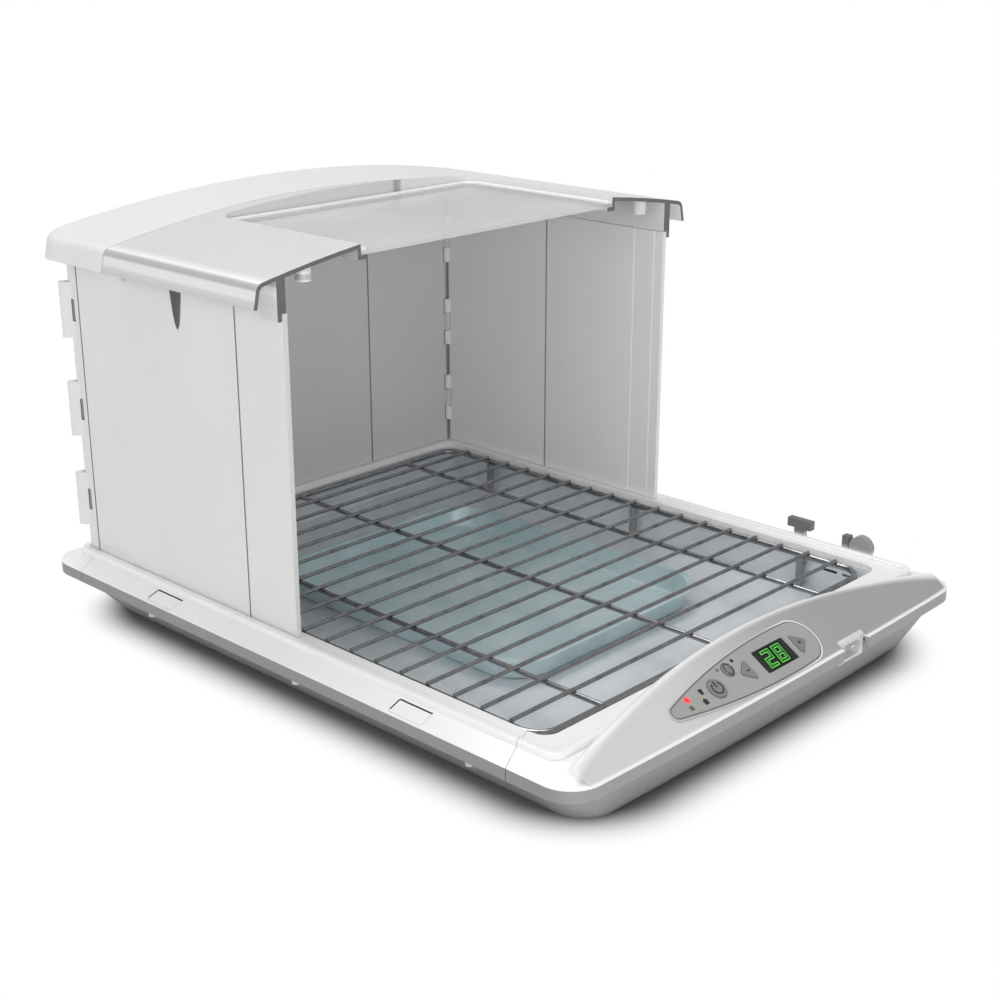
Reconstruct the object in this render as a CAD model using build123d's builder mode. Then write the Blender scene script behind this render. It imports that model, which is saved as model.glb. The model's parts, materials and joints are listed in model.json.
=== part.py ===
"""Folding dough proofer, its housing and lid shown in section. Millimetres, +Z up.

The origin is the centre of the footprint on the table. X runs along the control panel,
and Y runs from the panel, at the front, to the back.
"""

import os
from math import atan, cos, degrees, hypot, sin, sqrt

from build123d import *

os.makedirs("parts", exist_ok=True)

# Base: the shallow heated tub
base_width = 368.0
base_depth = 457.0
overall_height = 267.0  # table to the crown of the lid
half_width = base_width / 2
half_depth = base_depth / 2
front_edge = -half_depth
rim_corner = 20.0
front_bow = 3.0  # how far the front edge bows out
rim_lip_low = 28.0  # lower edge of the rim's outer lip
rim_lip_top = 35.2
rim_band_top = 40.2  # flat band round the top of the rim
rim_slope_run = 13.0  # plan width of the slope from the lip to the flat band
rim_wall = 2.6
skirt_side_run = 27.0  # how far the skirt leans in at the sides and rear
skirt_front_run = 15.0
pan_low = 2.6
pan_wall = 2.6
pan_tuck = 0.3  # gap between the pan's top edge and the rim's lip
foot_radius = 8.0
foot_inset = (44.0, 40.5)  # from the base's sides and ends
screw_radius = 1.6
screw_head_radius = 3.2
screw_head_height = 2.2
screw_clearance = 0.3
screw_bite = 11.0
screw_margin = 9.5  # from the well's side out to the screws
screw_end_inset = 88.5
boss_radius = 4.2
boss_top = 25.0
boss_gap = 0.3

# Well, ledge and bead inside the rim
well_inset = 27.0  # from the base's sides and rear
well_setback = 44.5  # from the front edge
well_corner = 10.0
ledge_top = 42.0  # the housing stands on this ledge
bead_width = 5.0
bead_height = 1.6
bead_margin = 13.0  # from the well's front edge to the bead
seam_front_margin = 8.0  # the rails' seams, from the well's two ends
seam_rear_margin = 4.5
seam_lean = 6.0  # each seam crosses the rim at a slight angle
seam_gap = 0.4
catch_inset = 6.0
catch_end_insets = (118.5, 121.5)  # from the rear edge, then from the front edge
catch_length = 24.0
catch_width = 8.4
catch_gap = 0.35
lug_inset = 6.5
lug_setback = 116.5
ear_setback = 69.5
lug_height = 16.0
lug_thickness = 5.0

# Housing: walls that fold, cut open at the section
wall_thickness = 3.2
wall_step = (8.0, 7.5, 6.0)  # walls' outer faces from the well: sides, rear, front
lid_rise = 36.0  # from the walls' top edge to the crown
wall_corner = 2.4
wall_seat_gap = 0.3
bead_gap = 0.6  # between the walls and the bead outside them
section_y = 0.0  # the housing and lid ahead of this plane are cut away
hinge_length = 35.0
hinge_foot = 16.7  # lowest hinge above the walls' foot
hinge_head = 13.0  # highest hinge below the walls' top
knuckle_radius = 3.1
knuckle_reach = 4.8  # the side walls' knuckles swell out past the corner by this run
knuckle_end = 10.5  # length of each end knuckle
knuckle_gap = 0.4
notch_gap = 0.7
pin_radius = 1.5
pin_clearance = 0.05
pin_proud = 0.6  # each pin shows this far past its end knuckles
hinge_inset = 0.1  # hinge axes stand this far inside the walls' inner faces
mid_hinge_out = 0.1  # the mid hinge's axis stands this far behind the rear wall
panel_end_gap = 0.3
groove_width = 1.4
groove_depth = 0.6
end_groove_inset = 11.0
outer_groove = 26.5  # from the middle of the side wall
inner_grooves = (89.0, 8.5)
scoop_offset = 80.5
scoop_radius = 8.7
scoop_depth = 2.4
scoop_height = 25.0
rib_length = 35.0
rib_width = 5.0
rib_inset = 15.0
rib_proud = 0.4

# Lid
lid_seat_rise = 5.0  # lower edge of the skirt above the walls' top edge
lid_shoulder_radius = 6.0
lid_overhang = (12.0, 7.0)  # past the walls at the front and at the rear
lid_corner = 22.0
lid_skin = 2.4
lid_taper = 12.0  # degrees by which the skirt leans in
lid_arch = 18.2  # rise of the arch carried out to the full width
window_side_margin = 57.0  # from the walls' outer faces
window_rear_margin = 81.0
window_front_margin = 78.0
window_corner = 12.0
window_ring = 2.4
window_ledge = 5.0
ledge_thickness = 2.6
pane_drop = 12.4  # underside of the pane below the crown
pane_thickness = 2.4
trim_width = 4.5
trim_height = 1.6
fit_gap = 0.25
seat_width = 3.6
lip_drop = 4.0
lip_width = 2.8
lip_gap = 0.5
hook_length = 28.0
hook_side_margin = 49.0  # the rearmost hook at each side, from the rear wall
hook_rear_margin = 85.0  # the hooks at the rear, from the side walls
lid_boss_radius = 4.5
lid_boss_drop = 3.8
lid_boss_margin = 36.0
lid_boss_inset = 24.0
lid_boss_ahead = 7.0

# Control panel, on the sloping front face
panel_slope = 0.61
crest_depth = 38.5  # plan distance from the front edge to the crest, at the middle
crest_end_depth = 14.5
crest_end_inset = 16.0
crest_foot_run = 5.5
crest_round = 5.0
crest_wall = 2.6
bezel_ends = (((-91.3, 15.0), 3.9), ((23.8, 18.0), 14.2))  # centre and radius
bezel_bows = (400.0, 520.0)  # radii of the upper and lower long edges
bezel_thickness = 1.8
bezel_proud = 0.25
bezel_shelf = 1.0
bezel_fit = 0.15
bezel_posts = ((-73.0, 15.5), (-46.0, 11.5), (32.6, 20.0))
post_radius = 1.5
button_gap = 0.3
button_proud = 0.8
power_place = (-55.4, 16.4)
power_radius = 6.0
mode_place = (-38.6, 22.8)
mode_radius = 4.2
minus_place = (-27.0, 16.8)
plus_place = (22.6, 17.2)
arrow_half = 7.2
arrow_base = 3.4
arrow_tip = 6.2
flange_grow = 0.5  # each button's flange is held behind the panel
flange_top = -1.75
flange_low = -2.9
stem_radius = 1.6
stem_low = -5.7
display_place = (-0.2, 17.4)
display_width = 29.0
display_height = 15.2
light_places = ((-79.3, 18.6), (-45.2, 25.4), (-31.0, 26.4))
light_radius = 1.1
board_depth = 10.0
board_gauge = 1.6
board_inset = 2.0
switch_size = 6.0
switch_height = 3.4
inlet_margin = 24.0  # from the bezel's right tip to the middle of the socket
inlet_width = 26.0
inlet_low = 24.0
inlet_high = 38.5
inlet_depth = 14.0
inlet_recess = 4.0

# Heated floor and what lies on it
plate_low = 14.0
plate_gauge = 1.2
plate_gap = 0.4
vent_height = 1.8
vent_z = 31.0
vent_rows = ((57.5, 10.0), (35.5, 14.0), (16.0, 18.0))  # from the well's front, and length
flange_width = 3.6
element_radius = 2.4
element_pitch = 48.0
element_turn_margins = (34.0, 31.5)  # from the well's front and rear
element_end_margin = 6.0
clip_margins = (70.0, 110.0)  # from the element's front and rear turns
clip_length = 8.0
pad_thickness = 2.3
pad_margins = (11.0, 2.0, 9.5)  # from the well's sides, front and rear
rack_margins = (4.5, 8.0, 6.5)  # from the well's sides, front and rear
rack_corner = 14.0
rack_wire = 1.3
rack_rod = 1.6
rack_frame = 2.0
rack_weld = 0.5  # depth to which crossing wires are welded into each other
rack_top = 41.6
rack_spaces = 18
rod_margin = 49.5
leg_radius = 2.6
leg_margin = 45.5
tray_margins = (61.5, 72.0, 73.0)  # from the rack's sides, front and rear
tray_top = 30.0
tray_corner = 26.0
tray_gauge = 1.0
tray_flare = 6.0
tray_taper = 14.0  # degrees by which the tray's sides lean out

# Places worked out from the sizes above
well_half = half_width - well_inset
well_rear = half_depth - well_inset
well_front = front_edge + well_setback
wall_half = well_half + wall_step[0]
wall_rear = well_rear + wall_step[1]
wall_front = well_front + wall_step[2]
wall_low = ledge_top + wall_seat_gap
wall_top = overall_height - lid_rise
wall_middle = (wall_front + wall_rear) / 2
wall_half_length = (wall_rear - wall_front) / 2
bead_half = wall_half + bead_gap
bead_rear = wall_rear + bead_gap
bead_front = well_front - bead_margin
rail_seam_front = well_front + seam_front_margin
rail_seam_rear = well_rear - seam_rear_margin
catch_x = half_width - catch_inset
catch_rows = (half_depth - catch_end_insets[0], front_edge + catch_end_insets[1])
lug_x = half_width - lug_inset
screw_x = well_half + screw_margin
screw_end = half_depth - screw_end_inset
screw_places = [(x, y) for x in (-screw_x, screw_x) for y in (-screw_end, 0, screw_end)]
foot_x, foot_y = half_width - foot_inset[0], half_depth - foot_inset[1]
foot_places = [(x, y) for x in (-foot_x, foot_x) for y in (-foot_y, foot_y)]
corner_x = wall_half - wall_thickness - hinge_inset
corner_y = wall_rear - wall_thickness - hinge_inset
mid_y = wall_rear + mid_hinge_out
hinge_bands = [
    (low, low + hinge_length)
    for low in (
        wall_low + hinge_foot,
        (wall_low + wall_top - hinge_length) / 2,
        wall_top - hinge_head - hinge_length,
    )
]
lid_low = wall_top + lid_seat_rise
lid_crown = overall_height
lid_edge = lid_crown - lid_arch
lid_front = wall_front - lid_overhang[0]
lid_rear = wall_rear + lid_overhang[1]
window_half = wall_half - window_side_margin
window_rear = wall_rear - window_rear_margin
window_front = wall_front + window_front_margin
pane_low = lid_crown - pane_drop
window_ledge_low = pane_low - ledge_thickness
lip_low = wall_top - lip_drop
lid_boss_low = lid_edge - lid_boss_drop
lid_boss_x = window_half + lid_boss_margin
lid_boss_rows = (section_y + lid_boss_ahead, window_rear - lid_boss_inset)
inlet_x = bezel_ends[1][0][0] + bezel_ends[1][1] + inlet_margin
panel_angle = atan(panel_slope)
panel_plane = Plane(
    origin=(0, front_edge, rim_lip_top),
    x_dir=(1, 0, 0),
    z_dir=(0, -sin(panel_angle), cos(panel_angle)),
)
panel_axis = Axis((0, 0, 0), panel_plane.z_dir)
section_plane = Plane(origin=(0, section_y, 0), z_dir=(0, 1, 0))


def save(part, name):
    part.label = name
    export_step(part, f"parts/{name}.step")


def base_outline(side_inset, front_inset, corner):
    """Footprint of the base, drawn in by an inset, with its front edge bowed."""
    half = half_width - side_inset
    rear = half_depth - side_inset
    front = front_edge + front_inset
    with BuildSketch() as outline:
        with BuildLine():
            Polyline(
                (-half, front + front_bow),
                (-half, rear),
                (half, rear),
                (half, front + front_bow),
            )
            ThreePointArc(
                (half, front + front_bow), (0, front), (-half, front + front_bow)
            )
        make_face()
        fillet(outline.vertices(), corner)
    return outline.sketch


def spanned(x_low, x_high, y_low, y_high, corner):
    """Rounded rectangle given by its four sides."""
    with BuildSketch() as shape:
        with Locations(((x_low + x_high) / 2, (y_low + y_high) / 2)):
            RectangleRounded(x_high - x_low, y_high - y_low, corner)
    return shape.sketch


def well_outline(grow):
    return spanned(
        -well_half - grow,
        well_half + grow,
        well_front - grow,
        well_rear + grow,
        well_corner + grow,
    )


# Base pan: the grey tub under the rim, with its feet and screws
pan_top = rim_lip_top - rim_wall - 0.6
pan_top_inset = rim_wall + pan_tuck
plate_top = rim_band_top - rim_wall - pan_tuck
rib_low, rib_high = well_front + element_turn_margins[0] - 10.0, well_rear - element_turn_margins[1]
rib_rows = [rib_low + (rib_high - rib_low) * i / 5 for i in range(6)]
rib_places = [(side * (well_half + flange_width / 2 + 0.2), y) for side in (-1, 1) for y in rib_rows]


def pan_body(wall, low):
    """Solid tub with leaning sides, smaller all round by the wall."""
    lean = (low - pan_low) / (pan_top - pan_low)
    side_run = skirt_side_run + (pan_top_inset - skirt_side_run) * lean
    front_run = skirt_front_run + (pan_top_inset - skirt_front_run) * lean
    with BuildPart() as body:
        with BuildSketch(Plane.XY.offset(low)):
            add(base_outline(side_run + wall, front_run + wall, rim_corner))
        with BuildSketch(Plane.XY.offset(pan_top)):
            rim_run = pan_top_inset + wall
            add(base_outline(rim_run, rim_run, rim_corner))
        loft(ruled=True)
    return body.part


with BuildPart() as pan_inside:
    # screw bosses, and ribs that hold up the heated plate's flange
    with BuildSketch():
        with Locations(*screw_places):
            Circle(boss_radius)
    extrude(amount=boss_top)
    with BuildSketch():
        with Locations(*rib_places):
            Rectangle(flange_width - 0.6, 9.0)
    extrude(amount=pan_top - 1.0)
    add(pan_body(0, pan_low), mode=Mode.INTERSECT)
    with BuildSketch(Plane.XY.offset(pan_top - 2.0)):
        with Locations(*rib_places):
            Rectangle(flange_width - 0.6, 9.0)
    extrude(amount=plate_top - plate_gauge - 0.1 - pan_top + 2.0)

with BuildPart() as base_pan:
    add(pan_body(0, pan_low))
    add(pan_body(pan_wall, pan_low + pan_wall), mode=Mode.SUBTRACT)
    add(pan_inside.part)
    with Locations(*[(x, y, 0) for x, y in screw_places]):
        Cylinder(
            screw_head_radius + screw_clearance,
            boss_top - 8.0,
            align=(Align.CENTER, Align.CENTER, Align.MIN),
            mode=Mode.SUBTRACT,
        )
        Cylinder(
            screw_radius + screw_clearance,
            2 * boss_top,
            align=(Align.CENTER, Align.CENTER, Align.MIN),
            mode=Mode.SUBTRACT,
        )
    with Locations((inlet_x, front_edge, (inlet_low + inlet_high) / 2)):
        Box(
            inlet_width + 2 * fit_gap,
            2 * inlet_depth,
            inlet_high - inlet_low + 2 * fit_gap,
            mode=Mode.SUBTRACT,
        )
save(base_pan.part, "base_pan")

with BuildPart() as base_screws:
    with BuildSketch(Plane.XY.offset(boss_top - 8.0 - screw_head_height)):
        with Locations(*screw_places):
            Circle(screw_head_radius)
    extrude(amount=screw_head_height)
    with BuildSketch(Plane.XY.offset(boss_top - 8.0)):
        with Locations(*screw_places):
            Circle(screw_radius)
    extrude(amount=8.0 + screw_bite - 1.0)
save(base_screws.part, "base_screws")

with BuildPart() as rubber_feet:
    with Locations(*[(x, y, 0) for x, y in foot_places]):
        Cone(
            foot_radius - 1.0,
            foot_radius,
            pan_low,
            align=(Align.CENTER, Align.CENTER, Align.MIN),
        )
save(rubber_feet.part, "rubber_feet")

# Rim: front cover with the control crest, two side rails, rear cover


def rim_body(wall):
    """Solid under the rim's outer skin, smaller all round by the wall."""
    with BuildPart() as body:
        for z, inset in (
            (rim_lip_low - wall, wall),
            (rim_lip_top - wall / 2, wall),
            (rim_band_top - wall, rim_slope_run + wall / 2),
        ):
            with BuildSketch(Plane.XY.offset(z)):
                add(base_outline(inset, inset, rim_corner - wall))
        loft(ruled=True)
    return body.part


def bead_outline(grow):
    return spanned(
        -bead_half - grow,
        bead_half + grow,
        bead_front - grow,
        bead_rear + grow,
        wall_corner + bead_gap + grow,
    )


rim_outer = rim_body(0)
with BuildPart() as rim:
    add(rim_outer)
    add(rim_body(rim_wall), mode=Mode.SUBTRACT)
    with BuildSketch(Plane.XY.offset(rim_band_top - rim_wall)):
        add(bead_outline(0))
    extrude(amount=ledge_top - rim_band_top + rim_wall)
    with BuildSketch(Plane.XY.offset(rim_band_top - 0.5)):
        add(bead_outline(bead_width))
        add(bead_outline(0), mode=Mode.SUBTRACT)
    extrude(amount=ledge_top + bead_height - rim_band_top + 0.5)
    fillet(rim.faces().sort_by(Axis.Z)[-1].edges(), bead_height * 0.75)
    with BuildSketch(Plane.XY):
        add(well_outline(0))
    extrude(amount=100.0, mode=Mode.SUBTRACT)


def rail_zone(side, grow):
    """Upright prism over one side rail, between its two slanting seams."""
    inner, outer = side * (well_half - 4.0), side * (half_width + 2.0)
    with BuildPart() as zone:
        with BuildSketch(Plane.XY):
            with BuildLine():
                Polyline(
                    (inner, rail_seam_front + seam_lean - grow),
                    (outer, rail_seam_front - seam_lean - grow),
                    (outer, rail_seam_rear - seam_lean + grow),
                    (inner, rail_seam_rear + seam_lean + grow),
                    close=True,
                )
            make_face()
        extrude(amount=100.0)
    return zone.part


def rail(side):
    """Side rail of the rim, with the bosses that the base screws bite into."""
    with BuildPart() as body:
        with BuildSketch(Plane.XY.offset(boss_top + boss_gap)):
            with Locations(*[(side * screw_x, y) for y in (-screw_end, 0, screw_end)]):
                Circle(boss_radius)
        extrude(amount=rim_band_top - 1.0 - boss_top - boss_gap)
        add(rim.part)
        add(rail_zone(side, -seam_gap / 2), mode=Mode.INTERSECT)
        with Locations(*[(side * screw_x, y, boss_top) for y in (-screw_end, 0, screw_end)]):
            Cylinder(
                screw_radius + pin_clearance,
                screw_bite,
                align=(Align.CENTER, Align.CENTER, Align.MIN),
                mode=Mode.SUBTRACT,
            )
    return body.part


def catch_blanks(grow):
    """Upright prisms where the two snap catches stand in the left rail."""
    with BuildPart() as blanks:
        with BuildSketch(Plane.XY.offset(rim_lip_low + rim_wall)):
            with Locations(*[(-catch_x, y) for y in catch_rows]):
                Rectangle(catch_width + grow, catch_length + grow)
        extrude(amount=rim_band_top)
    return blanks.part


with BuildPart() as left_rail:
    add(rail(-1))
    add(catch_blanks(2 * catch_gap), mode=Mode.SUBTRACT)
save(left_rail.part, "left_rail")

with BuildPart() as rail_catches:
    add(rim_outer)
    add(rim_body(rim_wall), mode=Mode.SUBTRACT)
    add(catch_blanks(0), mode=Mode.INTERSECT)
save(rail_catches.part, "rail_catches")

with BuildPart() as right_rail:
    add(rail(1))
save(right_rail.part, "right_rail")

# Upright lugs on the right rail: a T-shaped one, then a round ear with its stop.
with BuildPart() as rail_lugs:
    lug_y, ear_y = front_edge + lug_setback, front_edge + ear_setback
    with BuildSketch(Plane.YZ.offset(lug_x - lug_thickness / 2)):
        with Locations((lug_y, rim_lip_top + lug_height / 2)):
            Rectangle(7.0, lug_height)
        with Locations((lug_y, rim_lip_top + lug_height - 3.0)):
            Rectangle(18.0, 6.0)
    extrude(amount=lug_thickness)
    with BuildSketch(Plane.YZ.offset(lug_x - lug_thickness / 2)):
        with Locations((ear_y, rim_lip_top + lug_height - 8.0)):
            Circle(8.0)
        with Locations((ear_y + 11.0, rim_lip_top + lug_height / 2 - 1.0)):
            Rectangle(5.0, lug_height - 2.0)
    extrude(amount=lug_thickness)
    add(rim_outer, mode=Mode.SUBTRACT)
save(rail_lugs.part, "rail_lugs")

with BuildPart() as covers:
    add(rim.part)
    for side in (-1, 1):
        add(rail_zone(side, seam_gap / 2), mode=Mode.SUBTRACT)
front_ring, rear_ring = covers.solids().sort_by(Axis.Y)

with BuildPart() as rear_cover:
    add(rear_ring)
save(rear_cover.part, "rear_cover")

# The crest is a crescent mound whose front face is the control panel
crest_half = half_width - crest_end_inset
crest_sag = crest_depth - crest_end_depth
crest_arc = (crest_half**2 + crest_sag**2) / (2 * crest_sag)
crest_reach = crest_half + 2.0
crest_stations = [crest_reach * share for share in (-1, -0.88, -0.7, -0.47, -0.24, 0, 0.24, 0.47, 0.7, 0.88, 1)]


def crest_run(x):
    """Plan distance from the front edge's middle back to the crest."""
    return crest_depth - (crest_arc - sqrt(crest_arc**2 - x**2))


def front_run_at(x):
    """Plan distance by which the bowed front edge has drawn back at x."""
    straight = half_width - rim_corner
    bow = front_bow * (x / half_width) ** 2
    past = max(abs(x) - straight, 0.0)
    return bow + rim_corner - sqrt(rim_corner**2 - past**2)


def crest_body(wall, stations, low):
    """Mound lofted through upright sections, drawn in all round by the wall."""
    drop = wall / cos(panel_angle)
    with BuildPart() as body:
        for x in stations:
            near = front_run_at(x) + 0.6 + wall * 1.6
            far = crest_run(x)
            foot = far + crest_foot_run - wall
            near_z = rim_lip_top + 0.1 if wall == 0 else rim_lip_top + panel_slope * near - drop
            crest_z = rim_lip_top + panel_slope * far - drop
            foot_z = rim_band_top - 0.4 if wall == 0 else low + 3.0
            with BuildSketch(Plane.YZ.offset(x)) as section:
                with BuildLine():
                    Polyline(
                        (front_edge + near, low),
                        (front_edge + near, near_z),
                        (front_edge + far - wall * 0.5, crest_z),
                        (front_edge + foot, foot_z),
                        (front_edge + foot, low),
                        close=True,
                    )
                make_face()
                top = section.vertices().group_by(Axis.Y)[-1]
                fillet(top, min(crest_round, (crest_z - rim_band_top) * 0.45) if wall == 0 else 1.0)
        loft()
    return body.part


def bow_centre(radius, side):
    """Centre of the long edge above (1) or below (-1) that meets both round ends smoothly."""
    (near, near_radius), (far, far_radius) = bezel_ends
    run, rise = far[0] - near[0], far[1] - near[1]
    span = hypot(run, rise)
    along = ((radius - near_radius) ** 2 - (radius - far_radius) ** 2 + span**2) / (2 * span)
    across = side * sqrt((radius - near_radius) ** 2 - along**2)
    return (
        near[0] + (run * along + rise * across) / span,
        near[1] + (rise * along - run * across) / span,
    )


def toward(start, end, length):
    """Point at a length from the start, on the line to the end and past it."""
    run, rise = end[0] - start[0], end[1] - start[1]
    share = length / hypot(run, rise)
    return (start[0] + run * share, start[1] + rise * share)


def bezel_outline(inset):
    """Teardrop outline of the control panel, in the plane of the sloping face."""
    (near, near_radius), (far, far_radius) = bezel_ends
    middle = ((near[0] + far[0]) / 2, (near[1] + far[1]) / 2)
    edges = []
    for radius, side in zip(bezel_bows, (1, -1)):
        centre = bow_centre(radius, side)
        edges.append([toward(centre, point, radius - inset) for point in (near, middle, far)])
    upper, lower = edges
    with BuildSketch() as outline:
        with BuildLine():
            ThreePointArc(*upper)
            ThreePointArc(upper[2], (far[0] + far_radius - inset, far[1]), lower[2])
            ThreePointArc(*lower)
            ThreePointArc(lower[0], (near[0] - near_radius + inset, near[1]), upper[0])
        make_face()
    return outline.sketch


def arrow(place, point, grow):
    """Rounded triangle on the panel, pointing left or right."""
    with BuildSketch() as shape:
        with BuildLine():
            Polyline(
                (place[0] - point * arrow_base, place[1] + arrow_half),
                (place[0] - point * arrow_base, place[1] - arrow_half),
                (place[0] + point * arrow_tip, place[1]),
                close=True,
            )
        make_face()
        fillet(shape.vertices(), 1.2)
        if grow:
            offset(amount=grow, mode=Mode.REPLACE)
    return shape.sketch


def disc(place, radius, grow):
    with BuildSketch() as shape:
        with Locations(place):
            Circle(radius + grow)
    return shape.sketch


button_shapes = {
    "power_button": (power_place, lambda grow: disc(power_place, power_radius, grow)),
    "mode_button": (mode_place, lambda grow: disc(mode_place, mode_radius, grow)),
    "minus_button": (minus_place, lambda grow: arrow(minus_place, -1, grow)),
    "plus_button": (plus_place, lambda grow: arrow(plus_place, 1, grow)),
}

with BuildPart() as front_cover:
    add(front_ring)
    add(crest_body(0, crest_stations, rim_lip_top - 1.5))
    add(
        crest_body(crest_wall, crest_stations[1:-1], rim_lip_low + 1.0),
        mode=Mode.SUBTRACT,
    )
    with BuildSketch(Plane.XY):
        add(well_outline(flange_width + plate_gap))
    extrude(amount=rim_band_top - rim_wall, mode=Mode.SUBTRACT)
    with BuildSketch(panel_plane.offset(bezel_proud - bezel_thickness)):
        add(bezel_outline(-bezel_fit))
    extrude(amount=20.0, mode=Mode.SUBTRACT)
    with BuildSketch(panel_plane.offset(-12.0)):
        add(bezel_outline(bezel_shelf))
    extrude(amount=20.0, mode=Mode.SUBTRACT)
    with Locations((inlet_x, front_edge, (inlet_low + inlet_high) / 2)):
        Box(
            inlet_width + 2 * fit_gap,
            2 * inlet_depth,
            inlet_high - inlet_low + 2 * fit_gap,
            mode=Mode.SUBTRACT,
        )
save(front_cover.part, "front_cover")

# The panel: bezel, display, buttons and the board behind them
with BuildPart() as control_bezel:
    with BuildSketch(panel_plane.offset(bezel_proud - bezel_thickness)):
        add(bezel_outline(0))
    extrude(amount=bezel_thickness)
    fillet(control_bezel.faces().sort_by(panel_axis)[-1].edges(), 0.5)
    with BuildSketch(panel_plane.offset(-board_depth)):
        with Locations(*bezel_posts):
            Circle(post_radius)
    extrude(amount=board_depth - bezel_thickness + bezel_proud + 0.2)
    with BuildSketch(panel_plane.offset(-bezel_thickness - 1.0)):
        for _, outline in button_shapes.values():
            add(outline(button_gap))
        with Locations(display_place):
            RectangleRounded(display_width + 0.3, display_height + 0.3, 1.15)
        with Locations(*light_places):
            Circle(light_radius + 0.1)
    extrude(amount=bezel_thickness + 3.0, mode=Mode.SUBTRACT)
save(control_bezel.part, "control_bezel")

with BuildPart() as display_window:
    with BuildSketch(panel_plane.offset(bezel_proud - bezel_thickness - 0.1)):
        with Locations(display_place):
            RectangleRounded(display_width, display_height, 1.0)
    extrude(amount=bezel_thickness - 0.05)
    with BuildSketch(panel_plane.offset(bezel_proud - bezel_thickness - 0.05)):
        with Locations(display_place):
            RectangleRounded(display_width + 2.4, display_height + 2.4, 1.0)
    extrude(amount=-1.0)
save(display_window.part, "display_window")

with BuildPart() as display_module:
    with BuildSketch(panel_plane.offset(-board_depth)):
        with Locations(display_place):
            Rectangle(display_width + 1.0, display_height + 1.0)
    extrude(amount=board_depth + bezel_proud - bezel_thickness - 1.15)
save(display_module.part, "display_module")

for name, (middle, outline) in button_shapes.items():
    with BuildPart() as button:
        with BuildSketch(panel_plane.offset(flange_top)):
            add(outline(0))
        extrude(amount=bezel_proud + button_proud - flange_top)
        fillet(button.faces().sort_by(panel_axis)[-1].edges(), 0.5)
        with BuildSketch(panel_plane.offset(flange_low)):
            add(outline(flange_grow))
        extrude(amount=flange_top - flange_low)
        with BuildSketch(panel_plane.offset(stem_low)):
            with Locations(middle):
                Circle(stem_radius)
        extrude(amount=flange_low - stem_low)
    save(button.part, name)

with BuildPart() as light_pipes:
    with BuildSketch(panel_plane.offset(-board_depth + 0.1)):
        with Locations(*light_places):
            Circle(light_radius)
    extrude(amount=board_depth + bezel_proud - 0.1)
save(light_pipes.part, "light_pipes")

with BuildPart() as circuit_board:
    with BuildSketch(panel_plane.offset(-board_depth)):
        add(bezel_outline(board_inset))
    extrude(amount=-board_gauge)
save(circuit_board.part, "circuit_board")

with BuildPart() as tact_switches:
    with BuildSketch(panel_plane.offset(-board_depth)):
        with Locations(*[middle for middle, _ in button_shapes.values()]):
            Rectangle(switch_size, switch_size)
    extrude(amount=switch_height - 0.6)
    with BuildSketch(panel_plane.offset(-board_depth)):
        with Locations(*[middle for middle, _ in button_shapes.values()]):
            Circle(1.7)
    extrude(amount=switch_height)
save(tact_switches.part, "tact_switches")

# Power socket in the notch at the front, its mouth under the panel's slope
inlet_face = front_edge + inlet_recess
with BuildPart() as power_inlet:
    with Locations((inlet_x, inlet_face, (inlet_low + inlet_high) / 2)):
        Box(
            inlet_width,
            inlet_depth - inlet_recess - fit_gap,
            inlet_high - inlet_low,
            align=(Align.CENTER, Align.MIN, Align.CENTER),
        )
    with BuildSketch(panel_plane.offset(-0.6)):
        with Locations((inlet_x, 0)):
            Rectangle(2 * inlet_width, 100.0)
    extrude(amount=20.0, mode=Mode.SUBTRACT)
    with BuildSketch(Plane.XZ.offset(-inlet_face)):
        with Locations((inlet_x, (inlet_low + inlet_high) / 2 - 1.0)):
            SlotOverall(inlet_width - 6.0, 9.0)
    extrude(amount=-7.0, mode=Mode.SUBTRACT)
    with BuildSketch(Plane.XZ.offset(-inlet_face - 7.5)):
        with Locations(
            (inlet_x - 4.3, (inlet_low + inlet_high) / 2 - 1.0),
            (inlet_x + 4.3, (inlet_low + inlet_high) / 2 - 1.0),
        ):
            Circle(1.2)
    extrude(amount=6.0)
save(power_inlet.part, "power_inlet")

# Heated floor: pressed plate with the element clipped under it
with BuildPart() as heat_plate:
    with BuildSketch(Plane.XY.offset(plate_low)):
        add(well_outline(-plate_gap))
    extrude(amount=plate_top - plate_low)
    fillet(heat_plate.faces().sort_by(Axis.Z)[0].edges(), 4.0)
    with BuildSketch(Plane.XY.offset(plate_top - plate_gauge)):
        add(well_outline(flange_width))
    extrude(amount=plate_gauge)
    with BuildPart(mode=Mode.SUBTRACT) as hollow:
        with BuildSketch(Plane.XY.offset(plate_low + plate_gauge)):
            add(well_outline(-plate_gap - plate_gauge))
        extrude(amount=plate_top - plate_low)
        fillet(hollow.faces().sort_by(Axis.Z)[0].edges(), 4.0 - plate_gauge)
    with BuildSketch(Plane.YZ.offset(well_half - 20.0)):
        for setback, length in vent_rows:
            with Locations((well_front + setback, vent_z)):
                SlotOverall(length, vent_height)
    extrude(amount=40.0, mode=Mode.SUBTRACT)
save(heat_plate.part, "heat_plate")

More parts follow.
